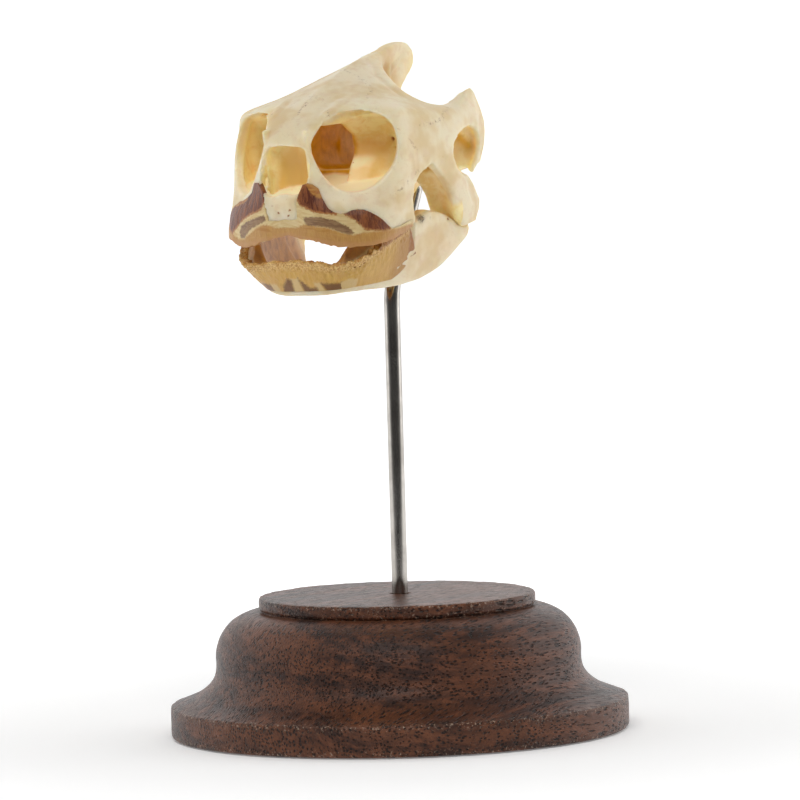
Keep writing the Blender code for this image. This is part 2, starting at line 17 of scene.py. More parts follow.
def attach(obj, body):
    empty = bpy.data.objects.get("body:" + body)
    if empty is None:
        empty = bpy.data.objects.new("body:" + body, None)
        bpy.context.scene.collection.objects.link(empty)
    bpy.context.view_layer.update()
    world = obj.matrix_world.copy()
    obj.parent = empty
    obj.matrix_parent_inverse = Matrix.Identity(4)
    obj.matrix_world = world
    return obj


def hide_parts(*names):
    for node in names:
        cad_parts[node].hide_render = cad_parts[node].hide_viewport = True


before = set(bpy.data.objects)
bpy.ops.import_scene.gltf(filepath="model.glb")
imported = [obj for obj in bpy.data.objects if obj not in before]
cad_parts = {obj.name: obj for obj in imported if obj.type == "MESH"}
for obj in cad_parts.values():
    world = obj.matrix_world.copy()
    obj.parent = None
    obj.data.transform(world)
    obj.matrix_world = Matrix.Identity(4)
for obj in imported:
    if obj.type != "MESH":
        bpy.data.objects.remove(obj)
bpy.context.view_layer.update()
print("solid pieces:", ", ".join(sorted(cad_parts)))

# %% [markdown]
# ## Units and places
# A skull is easiest to draw in its own millimetres: X to the animal's left, Y back along the head,
# Z up, with zero at the front of the beak. One matrix then tips the head 10.6 degrees and sets it
# over the stand. The pieces keep their millimetres as local coordinates, so a shader that reads
# object coordinates can state its pattern sizes in millimetres too.

# %% The skull's frame
MM = 0.001
SKULL_PLACE = Vector((-0.5, -29.1, 78.6)) * MM
SKULL_PITCH = math.radians(10.6)
SKULL_FRAME = (Matrix.Translation(SKULL_PLACE) @ Matrix.Rotation(SKULL_PITCH, 4, "X")
               @ Matrix.Scale(MM, 4))
UPRIGHT_FRAME = Matrix.Scale(MM, 4)
print("the beak's front stands at", [round(v, 4) for v in SKULL_FRAME.translation])

# %% [markdown]
# ## Small tools for curves and bodies
# Most of the skull is drawn with a few control points and a Catmull-Rom curve through them, which
# passes through every point and so is easy to steer. Bodies are lofts through rings of points.

# %% Curves
def smooth_at(points, where):
    """The smooth curve through points, read at parameters that count in points."""
    points = np.asarray(points, float)
    last = len(points) - 1
    where = np.clip(np.atleast_1d(np.asarray(where, float)), 0, last)
    left = np.minimum(where.astype(int), last - 1)
    part = (where - left)[:, None]
    before = points[np.maximum(left - 1, 0)]
    start = points[left]
    end = points[left + 1]
    after = points[np.minimum(left + 2, last)]
    return 0.5 * (2 * start + (end - before) * part
                  + (2 * before - 5 * start + 4 * end - after) * part**2
                  + (3 * start - before - 3 * end + after) * part**3)


def smooth_line(points, count, closed=False):
    if not closed:
        return smooth_at(points, np.linspace(0, len(points) - 1, count))
    ring = list(points[-2:]) + list(points) + list(points[:3])
    return smooth_at(ring, 2 + np.arange(count) * len(points) / count)


def smooth_step(low, high, values):
    part = np.clip((values - low) / (high - low), 0, 1)
    return part * part * (3 - 2 * part)


def read_line(at, line):
    """The height of a line of (place, height) points at each place."""
    return np.interp(at, *zip(*line))


print("halfway up a small arch:", smooth_at([(0, 0), (1, 1), (2, 0)], 0.5)[0])

# %% Bodies
def finish_mesh(bm, name):
    mesh = bpy.data.meshes.new(name)
    bm.to_mesh(mesh)
    bm.free()
    return mesh


def body_of_loops(loops, name, close=False):
    """A closed body through rings of points: capped, or with its last ring joined to its first."""
    bm = bmesh.new()
    rings = [[bm.verts.new(point) for point in loop] for loop in loops]
    count = len(rings[0])
    pairs = list(zip(rings, rings[1:])) + ([(rings[-1], rings[0])] if close else [])
    for low, high in pairs:
        for i in range(count):
            bm.faces.new((low[i], low[(i + 1) % count], high[(i + 1) % count], high[i]))
    if not close:
        bm.faces.new(rings[0][::-1])
        bm.faces.new(rings[-1])
    bmesh.ops.recalc_face_normals(bm, faces=bm.faces)
    return finish_mesh(bm, name)


def body_of_halves(stations, name, count=40):
    """A two-sided body: each station is a distance back and the left half of its outline."""
    loops = []
    for back, half in stations:
        left = smooth_line([(x, 0, z) for x, z in half], count)
        ring = [(x, back, z) for x, _, z in left]
        loops.append(ring + [(-x, back, z) for x, _, z in left[-2:0:-1]])
    return body_of_loops(loops, name)


print("bodies come from", body_of_loops.__name__, "and", body_of_halves.__name__)

# %% Ready-made bodies
def prism(outline, axis, start, end, name):
    """An outline pushed along an axis: 'x' takes (y, z) points, 'y' (x, z) and 'z' (x, y)."""
    place = {"x": lambda a, b, d: (d, a, b), "y": lambda a, b, d: (a, d, b),
             "z": lambda a, b, d: (a, b, d)}[axis]
    return body_of_loops([[place(a, b, d) for a, b in outline] for d in (start, end)], name)


def rounded(outline, count):
    """A flat outline with its corners smoothed."""
    return [(a, b) for a, _, b in smooth_line([(a, 0, b) for a, b in outline], count, closed=True)]


def ball(centre, radii, name):
    bm = bmesh.new()
    bmesh.ops.create_uvsphere(bm, u_segments=40, v_segments=28, radius=1)
    matrix = Matrix.Translation(centre) @ Matrix.Diagonal((*radii, 1))
    bmesh.ops.transform(bm, matrix=matrix, verts=bm.verts)
    return finish_mesh(bm, name)


def limb(path, name, sides=24):
    """A round-sectioned body along a path of (point, radius) stations."""
    points = smooth_line([(*point, radius) for point, radius in path], 8 * len(path))
    loops = []
    for i, (x, y, z, radius) in enumerate(points):
        ahead = Vector(points[min(i + 1, len(points) - 1)][:3])
        behind = Vector(points[max(i - 1, 0)][:3])
        turn = (ahead - behind).to_track_quat("Z", "Y")
        ring = [Vector((math.cos(a), math.sin(a), 0)) * radius
                for a in np.arange(sides) * 2 * math.pi / sides]
        loops.append([Vector((x, y, z)) + turn @ v for v in ring])
    return body_of_loops(loops, name)


def both_sides(mesh):
    copy = mesh.copy()
    copy.transform(Matrix.Scale(-1, 4, (1, 0, 0)))
    copy.flip_normals()
    return [mesh, copy]


print("ready-made bodies:", prism.__name__, ball.__name__, "and", limb.__name__)

# %% Blender's modifiers as steps
def add_piece(mesh, name, place=None):
    piece = bpy.data.objects.new(name, mesh)
    bpy.context.scene.collection.objects.link(piece)
    if place is not None:
        piece.matrix_world = place
    return piece


def apply_modifiers(piece):
    """The piece's mesh after its modifiers, and the piece removed."""
    graph = bpy.context.evaluated_depsgraph_get()
    mesh = bpy.data.meshes.new_from_object(piece.evaluated_get(graph))
    bpy.data.objects.remove(piece)
    return mesh


def cut(mesh, cutters):
    for cutter in cutters:
        body = add_piece(mesh, "body")
        tool = add_piece(cutter, "tool")
        boolean = body.modifiers.new("cut", "BOOLEAN")
        boolean.operation = "DIFFERENCE"
        boolean.solver = "EXACT"
        boolean.object = tool
        mesh = apply_modifiers(body)
        bpy.data.objects.remove(tool)
    return mesh


def joined(meshes, name):
    bm = bmesh.new()
    for mesh in meshes:
        bm.from_mesh(mesh)
    return finish_mesh(bm, name)


def one_skin(mesh, voxel, rounds, keep):
    """Many bodies that pass through each other become one closed skin, as bone is."""
    body = add_piece(mesh, "body")
    remesh = body.modifiers.new("one_skin", "REMESH")
    remesh.mode = "VOXEL"
    remesh.voxel_size = voxel
    soften = body.modifiers.new("soften", "SMOOTH")
    soften.factor = 0.5
    soften.iterations = rounds
    if keep < 1:
        body.modifiers.new("thin_out", "DECIMATE").ratio = keep
    return apply_modifiers(body)


print("bodies can be cut, joined and wrapped in one skin")

# %% Points and their values
def points_of(mesh):
    places = np.empty(len(mesh.vertices) * 3)
    mesh.vertices.foreach_get("co", places)
    return places.reshape(-1, 3)


def normals_of(mesh):
    normals = np.empty(len(mesh.vertices) * 3, np.float32)
    mesh.vertex_normals.foreach_get("vector", normals)
    return normals.reshape(-1, 3).astype(float)


def move_points(mesh, places):
    mesh.vertices.foreach_set("co", places.ravel())
    mesh.update()


def keep_values(mesh, name, values):
    """One number per point, stored on the mesh for a shader to read by name."""
    layer = mesh.attributes.new(name, "FLOAT", "POINT")
    layer.data.foreach_set("value", np.asarray(values, np.float32))


def triangles(mesh):
    return sum(len(face.vertices) - 2 for face in mesh.polygons)


def nearness(places, centre, radius):
    """1 at the centre, and falling off smoothly over the radius."""
    return np.exp(-(np.linalg.norm(places - np.array(centre), axis=1) / radius) ** 2)


print("a point one radius away has a nearness of",
      round(float(nearness(np.zeros((1, 3)), (1, 0, 0), 1)[0]), 2))


# %% [markdown]
# ## The cranium's skin
# A skull is a shell of bone with large windows. The outer skin is one smooth sheet steered by nine
# rows of nine control points per side, from the cutting edge of the beak up to the ridge of the
# roof, and from the middle of the snout round to the back of the head. Sculpting would give the
# same form, but rows of numbers can be measured against the real thing and changed one at a time.

# %% Rows of the skin
SKIN_ROWS = [
    [(0, 0, -0.2), (4, -0.1, -1.1), (8, 0.8, -2.2), (12, 2.9, -2.6), (14.1, 6.6, -2.5),
     (14.9, 12.8, -1.6), (15.6, 20, -0.2), (15.9, 27, 0.6), (15.0, 33.6, 3.0)],
    [(0, 0, 3), (3.8, 0.1, 3), (7.4, 1.2, 2.6), (11.4, 3.9, 2.2), (14.3, 8.4, 2.4),
     (15.2, 13.5, 2.8), (16, 21, 3.3), (16.2, 28, 3.2), (15.0, 35.2, 3.8)],
    [(0, 0.1, 5.9), (3.5, 0.5, 6), (6.2, 2.0, 5.8), (10.3, 5.4, 5.5), (14.2, 9.4, 5.8),
     (15.4, 14.4, 6), (16.3, 22, 6.2), (16.5, 28.5, 6), (15.2, 36.8, 6.2)],
    [(0, 1.3, 9.8), (3.4, 1.6, 10), (5.3, 2.9, 9.9), (9.8, 6.9, 9.8), (14.3, 10.8, 9.9),
     (15.5, 15.5, 10), (16.3, 22.5, 9.8), (16.4, 29, 9.6), (15.0, 37.8, 9.4)],
    [(0, 2.4, 13), (2.9, 2.8, 13.3), (4.8, 4.4, 13.5), (9.2, 8.4, 14), (13.7, 12, 13.7),
     (15, 16.8, 13.3), (15.7, 23, 12.6), (15.7, 30, 12.4), (14.7, 37, 12.8)],
    [(0, 5, 15.8), (2.6, 5.3, 15.9), (5, 7, 16.2), (9, 10.3, 16.7), (12.9, 13.3, 16.2),
     (14, 18, 15.1), (14.4, 24.5, 14.0), (14.3, 30, 13.5), (14.4, 35.4, 15.3)],
    [(0, 9, 17.6), (2, 9.6, 17.6), (3.8, 11.5, 17.8), (6.2, 15, 18.1), (8.6, 18.6, 17.7),
     (10.2, 22.5, 16.4), (11.6, 26.5, 14.6), (12.4, 31, 13.7), (13, 34.5, 14.6)],
    [(0, 14, 19.2), (1, 15, 19.2), (2, 17.5, 19.5), (3, 21, 19.8), (4, 25, 19.8),
     (5, 28, 19), (6.4, 30.5, 17.6), (8, 33, 16), (9.5, 34.5, 15)],
    [(0, 18, 20.2), (0, 20, 20.6), (0, 22.5, 21), (0, 25.5, 21.4), (0, 28, 21.6),
     (0, 30.5, 21.6), (0, 33, 21.6), (0, 35, 21.6), (0, 37, 21.6)],
]
BONE_WALL = 1.5
print("the skin has", len(SKIN_ROWS), "rows of", len(SKIN_ROWS[0]), "points on each side")

# %% The skin from its rows
def skin_grid(columns, rows):
    """Points of the skin: one list of columns, and rows either shared or one list per column."""
    at_columns = np.array([smooth_at(row, columns) for row in SKIN_ROWS])
    shared = np.ndim(rows[0]) == 0
    grid = [smooth_at(at_columns[:, j], rows if shared else rows[j]) for j in range(len(columns))]
    return np.array(grid).transpose(1, 0, 2)


def sheet(name, left_grid, right_grid):
    """One sheet from rows of points for each side. Both are given as on the left."""
    bm = bmesh.new()
    for side, grid in ((1, left_grid), (-1, right_grid)):
        made = [[bm.verts.new((side * x, y, z)) for x, y, z in row] for row in grid]
        for low, high in zip(made, made[1:]):
            for a, b, c, d in zip(low, low[1:], high[1:], high):
                bm.faces.new((a, b, c, d) if side > 0 else (d, c, b, a))
    bmesh.ops.remove_doubles(bm, verts=bm.verts, dist=1e-4)
    return finish_mesh(bm, name)


def thickened(mesh, thickness):
    body = add_piece(mesh, "sheet")
    wall = body.modifiers.new("wall", "SOLIDIFY")
    wall.thickness = thickness
    wall.offset = -1
    return apply_modifiers(body)


SKIN_COUNTS = (90, 70)
all_rows = skin_grid(*(np.linspace(0, 8, count) for count in SKIN_COUNTS))
skin = sheet("skin", all_rows, all_rows)
skin_tree = BVHTree.FromPolygons([v.co for v in skin.vertices],
                                 [tuple(face.vertices) for face in skin.polygons])
print("the skin has", len(skin.polygons), "faces")

# %% [markdown]
# ## Windows in the skin
# The openings are drawn as flat outlines and pushed through the shell. The orbit faces outwards
# and forwards, so its outline lies in a plane turned 37 degrees, and the right one is a little
# narrower than the left. The ear opening is a rounded hole between squamosal and quadrate. The
# shell is remeshed into even little faces first, because clean faces make clean cuts.

# %% Openings
ORBIT_TURN = math.radians(37)
ORBIT = [(5.3, 13.0), (7.4, 15.4), (9.2, 16.3), (11.5, 16.7), (14.2, 16.5), (16.4, 15.7),
         (17.9, 14.2), (18.4, 12.3), (18.1, 10.2), (17.3, 8.4), (15.6, 6.7), (13.6, 5.6),
         (11.2, 5.1), (8.9, 5.6), (7.3, 6.9), (6.2, 8.5), (5.4, 10.8)]
FAR_ORBIT = ([(6.0, 12.8), (7.8, 15.3), (9.4, 16.2)] + ORBIT[3:14]
             + [(7.6, 7.2), (6.8, 8.6), (6.1, 10.5)])
NARES = [(-2.6, 12.8), (-0.2, 12.9), (2.2, 12.7), (3.4, 12.1), (4.15, 10.2), (3.8, 7.9),
         (3.1, 6.5), (1.7, 5.8), (-0.1, 6.0), (-2.4, 5.6), (-3.6, 6.1), (-4.7, 7.2), (-4.6, 8.9),
         (-4.1, 11.3), (-3.3, 12.4)]
CHEEK_NOTCH = [(13.2, -4), (13.1, 2.6), (13.7, 4.5), (15.2, 5.7), (18.6, 6.6), (20.9, 4.2),
               (23.8, 1.1), (27.4, -2.4), (29, -6)]
TEMPORAL_NOTCH = [(0.95, 47), (1.0, 34), (2.2, 30.5), (4.4, 27.4), (7.4, 25), (10, 24.8),
                  (11.9, 27.4), (12.5, 31), (12.6, 47)]
EAR = [(23.5, 6.0), (24.4, 8.0), (26.1, 9.2), (28.8, 9.9), (31.5, 9.8), (33.6, 8.6), (34.3, 6.8),
       (33.6, 5.0), (32.4, 3.8), (31.2, 2.2), (30.2, 0.2), (27.6, -0.2), (25.6, 0.6), (24.0, 3.3)]
print("the orbit is", round(max(p for p, z in ORBIT) - min(p for p, z in ORBIT), 1), "mm long")

# %% The shell with its openings

def orbit_cutter(orbit, name):
    along = Vector((math.cos(ORBIT_TURN), math.sin(ORBIT_TURN), 0))
    through = Vector((math.sin(ORBIT_TURN), -math.cos(ORBIT_TURN), 0))
    outline = rounded(orbit, 64)
    loops = [[along * p + Vector((0, 0, z)) + through * depth for p, z in outline]
             for depth in (-5.5, 3.5)]
    return body_of_loops(loops, name)


def side_openings():
    ear = prism(rounded(EAR, 60), "x", 13.9, 20, "ear")
    orbits = [both_sides(orbit_cutter(ORBIT, "left orbit"))[0],
              both_sides(orbit_cutter(FAR_ORBIT, "right orbit"))[1]]
    cutters = (prism(CHEEK_NOTCH, "x", 11, 20, "cheek"),
               prism(rounded(TEMPORAL_NOTCH, 90), "z", 12.0, 30, "temple"), ear)
    return orbits + [side for cutter in cutters for side in both_sides(cutter)]


shell = one_skin(thickened(skin.copy(), BONE_WALL), 0.34, 1, 1.0)
for cutter in [prism(rounded(NARES, 50), "y", -3, 4.6, "nares")] + side_openings():
    faces_before = len(shell.polygons)
    shell = cut(shell, [cutter])
    print("after cutting", cutter.name, len(shell.polygons), "of", faces_before, "faces are left")

# %% [markdown]
# ## Inside the skull
# Behind the windows the eye meets the waisted box of the brain, the palate, the floor of the
# orbit, the nasal wall, the ear bones and the quadrate that carries the jaw joint. They are simple
# lofts that pass through each other, because the next step wraps them all in one skin.

# %% Braincase and palate
def braincase():
    box = body_of_halves([
        (16.2, [(0, 5.2), (3.6, 5.4), (4.9, 8), (4.5, 11), (5.2, 14), (7.2, 17.4), (3, 18.6),
                (0, 18.9)]),
        (21, [(0, 2.2), (5, 2.6), (5.4, 7), (4.8, 11), (5.4, 14), (7.4, 17.3), (3.4, 19),
              (0, 19.8)]),
        (26, [(0, 0.6), (5.4, 1.2), (6, 6), (5.2, 10.5), (4.8, 13), (4.4, 16.5), (2.8, 19.2),
              (0, 20.6)]),
        (31, [(0, -0.4), (4.6, 0.2), (6.4, 5), (5.6, 9), (4.4, 12), (2.6, 15), (1.5, 18.5),
              (0, 20.8)]),
        (36.2, [(0, -0.8), (3.2, -0.4), (4.8, 3), (4.6, 8), (3.8, 11), (2, 13.6), (1.0, 15.5),
                (0, 16)]),
    ], "braincase")
    cavity = body_of_halves([
        (14, [(0, 6.8), (2.8, 7), (3.9, 9), (3.7, 11), (3.9, 13.5), (3.8, 15.6), (1.6, 16.8),
              (0, 17)]),
        (24, [(0, 5.4), (2.8, 5.6), (3.8, 8), (3.7, 10), (3.4, 12), (3, 15), (1.6, 16.4),
              (0, 16.6)]),
        (33, [(0, 4.6), (2, 4.8), (3.2, 6.6), (3.2, 8), (3, 10), (2.2, 11.4), (1, 12), (0, 12.1)]),
        (39, [(0, 4.8), (1.8, 5), (2.8, 6.8), (2.8, 8), (2.4, 9.6), (1.6, 10.8), (0.8, 11.2),
              (0, 11.3)]),
    ], "brain_cavity")
    return cut(box, [cavity])


def palate():
    """The bony roof of the mouth, which narrows behind the orbits."""
    return body_of_halves([
        (1.2, [(0, 1.2), (4, 1.0), (7.6, 0.6), (7.8, 2.4), (4, 4.2), (0, 4.6)]),
        (4.5, [(0, 1.6), (6, 1.6), (11.2, 0.4), (11.4, 2.6), (6, 4.4), (0, 4.9)]),
        (9, [(0, 2.6), (6.5, 2.2), (13, 0.6), (13.3, 3.2), (7, 4.2), (0, 5.0)]),
        (13, [(0, 2.8), (5, 2.2), (10.6, 1.2), (11, 3.2), (6.2, 4.4), (0, 5.2)]),
        (17, [(0, 2.2), (3.6, 1.8), (7.0, 1.4), (7.4, 3.0), (5.6, 5.0), (0, 6.0)]),
        (22, [(0, 0.8), (3.2, 0.6), (5.2, 0.4), (5.6, 2.2), (5.0, 4.6), (0, 5.6)]),
        (27, [(0, -0.4), (3.6, -0.4), (5.8, -1.0), (6.2, 1.2), (5, 4), (0, 5)]),
        (31, [(0, -0.8), (2.6, -0.9), (3.4, -1.2), (3.8, 1.4), (3.6, 4), (0, 5)]),
    ], "palate")


middle_bones = [braincase(), palate()]
print("in the middle of the skull:", ", ".join(mesh.name for mesh in middle_bones))

# %% Bones round the eye
def stack(name, places):
    """A body from flat closed outlines, one above the other or side by side."""
    return body_of_loops([smooth_line(ring, 28, closed=True) for ring in places], name)


def bones_round_the_eye():
    orbit_floor = stack("orbit_floor", [
        [(3.6, 3.4 + lift, z), (9.4, 5.8 + lift, z), (13.4, 10 + lift, z), (13, 15.6, z),
         (4.4, 15, z)]
        for z, lift in ((2.4, 0), (4.3, 0.2), (5.1, 0.9))])
    orbit_back = stack("orbit_back", [
        [(4.4, inner, z), (6.6, inner + 1.2, z), (9, deep, z), (11.6, deep - 0.7, z),
         (wide - 1.2, 15.2, z), (wide, 13.4, z), (wide + 0.6, 14.4, z), (wide - 1, 16.6, z),
         (9.4, deep + 1.6, z), (5.6, inner + 2.8, z), (4.0, inner + 1.8, z)]
        for z, inner, deep, wide in (
            (4.4, 11.4, 15.2, 14.4), (7.2, 13.4, 17.0, 14.9), (8.8, 15.0, 17.8, 14.9),
            (10.5, 15.9, 18.0, 14.7), (11.8, 15.4, 17.6, 14.3), (13.4, 13.4, 16.4, 13.8),
            (14.6, 11.8, 14.8, 13.2), (15.6, 9.8, 12.8, 12.4))])
    orbit_roof = limb([((4.2, 7, 15.9), 0.9), ((4.6, 10, 16.1), 1.5), ((4.9, 13, 16.2), 2.0),
                       ((5.2, 16.5, 15.8), 2.2)], "orbit_roof")
    return orbit_floor, orbit_back, orbit_roof


orbit_floor, orbit_back, orbit_roof = bones_round_the_eye()
print("round the eye:", orbit_floor.name, orbit_back.name, orbit_roof.name)

# %% Bones round the ear
def bones_round_the_ear():
    otic = stack("otic", [
        [(x, back, low), (x, front, low + 2.2), (x, front + 0.4, high - 2),
         (x, (front + back) / 2 + 1, high), (x, back, high - 2.4)]
        for x, front, back, low, high in (
            (3.6, 25, 35.4, 1.8, 13), (7, 25, 35.4, 1.6, 12.2),
            (11, 25.2, 36, 2.2, 12.6), (14.2, 25.4, 36.6, 3.2, 13.4))])
    quadrate = stack("quadrate", [
        [(inner, back, z), (inner + 0.4, front + 0.8, z), ((inner + outer) / 2, front + 1.2, z),
         (outer, front, z), (outer, back, z)]
        for z, inner, outer, front, back in (
            (8, 8.4, 16.0, 24, 31), (4.4, 8.8, 16.1, 21.6, 29.4), (2.6, 9.6, 16.1, 22.8, 29.0),
            (0.6, 10.0, 16.0, 23.8, 30.4), (-1.8, 10.2, 16.0, 24.2, 31.6),
            (-3.4, 10.4, 15.8, 24.9, 31.2), (-4.9, 11.2, 15.5, 26.2, 30.4))])
    wing = stack("pterygoid_wing", [
        [(9.2, front, z), (10.8, front - 0.6, z), (11.2, 31.5, z), (9.4, 32.4, z)]
        for z, front in ((3, 25.2), (0.6, 26.5), (-1, 27.3), (-3, 27.8), (-5.4, 28.2))])
    ear_hollow = ball((18.0, 29.6, 6.2), (5.6, 5.4, 4.0), "ear_hollow")
    gutter = limb([((17.9, 28.4, 5), 2.4), ((17.8, 28.6, 1.4), 1.9), ((18.1, 28.8, -1.8), 1.7)],
                  "ear_gutter")
    tuber = ball((1.5, 34.0, -0.2), (1.8, 2.2, 1.6), "tuber")
    return cut(otic, [ear_hollow]), cut(quadrate, [ear_hollow.copy(), gutter]), wing, tuber


otic, quadrate, wing, tuber = bones_round_the_ear()
print("round the ear: otic box, quadrate,", wing.name, "and", tuber.name)

# %% Bones of the snout
def bones_of_the_snout():
    jaw_rim = limb([((0, 1.0, 0.9), 0.9), ((4, 1.0, 0.7), 0.9), ((8, 1.9, 0.4), 0.9),
                    ((11.2, 4.2, 0.4), 0.85), ((13.0, 8, 0.5), 0.8), ((13.8, 12.4, 0.9), 0.8)],
                   "jaw_rim")
    nasal_wall = stack("nasal_wall", [
        [(-0.2, 6.2 + bow, z), (1.9, 5.6 + bow, z), (3.1, 4.0, z), (3.2, 4.7, z),
         (1.9, 6.6 + bow, z), (-0.2, 7.4 + bow, z)]
        for z, bow in ((4, -1.2), (6.5, -0.3), (9.5, 0), (12.5, -0.4), (15, -1.2))])
    nose_floor = ball((0.9, 3.0, 4.9), (2.4, 2.6, 1.3), "nose_floor")
    return nose_floor, jaw_rim, nasal_wall


def prefrontal(outline):
    """The thin pillar between nose and orbit, nearly upright."""
    return stack("prefrontal", [[(x, y, z) for x, y in outline] for z in (3.2, 7, 11, 15.2)])


nose_floor, jaw_rim, nasal_wall = bones_of_the_snout()
bone_pairs = [otic, quadrate, wing, orbit_floor, orbit_back, orbit_roof, nose_floor, tuber, jaw_rim,
              nasal_wall]
print(len(bone_pairs), "bones are there in pairs")

# %% Crest, and every body of the cranium
CREST_PROFILE = [(26, 17), (28, 21.1), (33, 21.6), (38, 22.1), (41.4, 21.2), (42.8, 19.2),
                 (41.9, 17.5), (39.7, 16.1), (37.6, 14.6), (35.8, 12.4), (30, 11)]
crest = prism(rounded(CREST_PROFILE, 60), "x", -0.85, 0.85, "crest")
vomer = limb([((0, 1.4, 4.4), 1.1), ((0, 5, 5.0), 1.0), ((0, 12, 4.6), 0.8)], "vomer")
cranium_bodies = [shell, *middle_bones, crest, vomer,
                  ball((0, 36.4, 3.2), (1.9, 2.2, 1.5), "condyle")]
for pair in bone_pairs:
    cranium_bodies += both_sides(pair)
cranium_bodies += [prefrontal([(3.4, 2.6), (3.8, 3.2), (3.5, 4.2), (2.9, 4.8), (2.6, 4)]),
                   prefrontal([(-3.8, 3), (-3.3, 5.4), (-3.5, 8), (-4.2, 7), (-4.3, 3.8)])]

# %% One skin of bone
cranium_voxel = 0.28
cranium_mesh = one_skin(joined(cranium_bodies, "cranium"), cranium_voxel, 3,
                        0.72)
print("cranium:", triangles(cranium_mesh), "triangles")


# %% [markdown]
# ## Fine form of the bone
# A skin wrapped round bodies is too even to be bone. Small forms are pressed into its points one by
# one: folds down the crest, a ridge on the squamosal, fine sutures, and the little holes that let
# nerves and vessels through. Each is a line or a spot with a width and a depth in millimetres, and
# a point moves along its normal by how near it lies. A bump map would fail at the outline.

# %% Lines and spots to press in
def distance_to_line(places, line):
    """How far each point is from a broken line."""
    best = np.full(len(places), 1e9)
    line = np.asarray(line, float)
    for start, end in zip(line, line[1:]):
        way = end - start
        part = np.clip((places - start) @ way / (way @ way), 0, 1)
        best = np.minimum(best, np.linalg.norm(places - start - part[:, None] * way, axis=1))
    return best


def lattice_noise(places, size, seed):
    """Smooth noise between -1 and 1 with lumps of about the given size."""
    spot = places / size + seed * 17.31
    corner = np.floor(spot).astype(np.int64)
    part = spot - corner
    part = part * part * (3 - 2 * part)
    total = np.zeros(len(places))
    for step in range(8):
        offset = np.array([step & 1, step >> 1 & 1, step >> 2 & 1])
        key = (corner + offset) @ np.array([73856093, 19349663, 83492791]) + seed * 2654435
        key = (key ^ (key >> 13)) * 1274126177 & 0x7FFFFFFF
        weight = np.prod(np.where(offset, part, 1 - part), axis=1)
        total += weight * ((key >> 8 & 0xFFFF) / 32767.5 - 1)
    return total


print("noise at one point:", round(float(lattice_noise(np.array([[1.5, 2.5, 3.5]]), 1, 3)[0]), 3))

# %% Where they run: folds as (line, width, height), sutures as lines, pits as (place, width, depth)
FOLDS = [([(2.2, 27.6, 20.6), (4.6, 24.1, 19.5), (7.7, 22.5, 17.9), (9.9, 21.9, 16.7)], 0.7, -0.25),
         ([(0.9, 33.6, 19.0), (0.9, 33.0, 17.0), (1.2, 32.5, 14)], 0.7, -0.5),
         ([(0.9, 36.4, 19.8), (0.9, 35.8, 18.0), (0.9, 34.6, 15)], 0.6, -0.4),
         ([(0.9, 39.2, 19.8), (0.9, 38.4, 18.0)], 0.5, -0.3),
         ([(1.0, 35.1, 19.4), (1.0, 34.6, 17.6), (1.2, 33.6, 14.6)], 0.6, 0.25),
         ([(1.4, 31.0, 19.0), (2.2, 30.6, 17.6), (3.8, 31.0, 16.2), (6.6, 32.6, 15.2)], 0.9, -0.3),
         ([(15.2, 35.4, 15.0), (15.9, 34.2, 11), (16.1, 33.2, 7.4)], 0.7, 0.28),
         ([(13.6, 13.6, 15.6), (14.6, 18, 14.4), (15, 24, 13.0)], 1.4, 0.15)]
SUTURES = [[(15.2, 17.0, 12.7), (15.6, 20.5, 12.5), (15.6, 23.9, 12.6)],
           [(15.5, 23.7, 12.9), (14.9, 26, 13.2), (14.3, 28.8, 13.5)],
           [(5.6, 6.2, 16.0), (4.4, 9, 17.5), (2.0, 11.6, 18.3), (0, 12.4, 18.7)],
           [(0, 3.5, 14.4), (0, 8, 17.2), (0, 12.4, 18.7)],
           [(7.8, 15, 17.6), (6.8, 19, 18.4), (3, 21.5, 19.8), (0, 22, 20.9)],
           [(14.3, 8, 3.6), (15.1, 11.6, 5.2), (15.5, 15.0, 6.4)],
           [(13.9, 12.4, 13.4), (15.4, 14.6, 9.8), (15.6, 17.5, 7.0)]]
PITS = [((-1.2, 0, 3.2), 0.3, 0.15), ((-0.2, 0, 2.5), 0.3, 0.15), ((1.0, 0, 3.6), 0.28, 0.15),
        ((0.5, 0, 2.7), 0.26, 0.12), ((-2.1, 0, 4.4), 0.28, 0.12), ((16.1, 31.4, 6.7), 0.5, 0.4),
        ((16.3, 21.3, 7.0), 0.28, 0.3), ((-9.6, 4.6, 5.1), 0.3, 0.3),
        ((9.6, 17.9, 10.6), 0.45, 0.7), ((10.2, 17.7, 9.4), 0.4, 0.6), ((7.0, 20.5, 4.6), 0.4, 0.5)]


def press_bone(mesh, folds, sutures, pits, seed):
    """Presses the small forms in, keeps them for the shader, and gives the points from before."""
    places = points_of(mesh)
    normals = normals_of(mesh)
    left = np.stack([np.abs(places[:, 0]), places[:, 1], places[:, 2]], 1)
    wander = np.stack([lattice_noise(places, 0.8, seed + k) for k in range(3)], 1) * 0.22
    push = 0.05 * lattice_noise(places, 2.6, seed) + 0.022 * lattice_noise(places, 0.7, seed + 5)
    for line, width, height in folds:
        push += height * np.exp(-(distance_to_line(left, line) / width) ** 2)
    seam = np.full(len(places), 9.0)
    for line in sutures:
        seam = np.minimum(seam, distance_to_line(left + wander, line))
    push -= 0.07 * np.exp(-(seam / 0.16) ** 2)
    hole = np.zeros(len(places))
    for centre, radius, depth in pits:
        near = nearness(places, centre, radius)
        push -= depth * near
        hole = np.maximum(hole, near)
    move_points(mesh, places + normals * push[:, None])
    keep_values(mesh, "seam", np.exp(-(seam / 0.2) ** 2))
    # How near each pit lies, for the painted shade in it.
    keep_values(mesh, "hole", hole)
    return places


places = press_bone(cranium_mesh, FOLDS, SUTURES, PITS, 3)
print("pressed in:", len(FOLDS), "folds,", len(SUTURES), "sutures and", len(PITS), "pits")
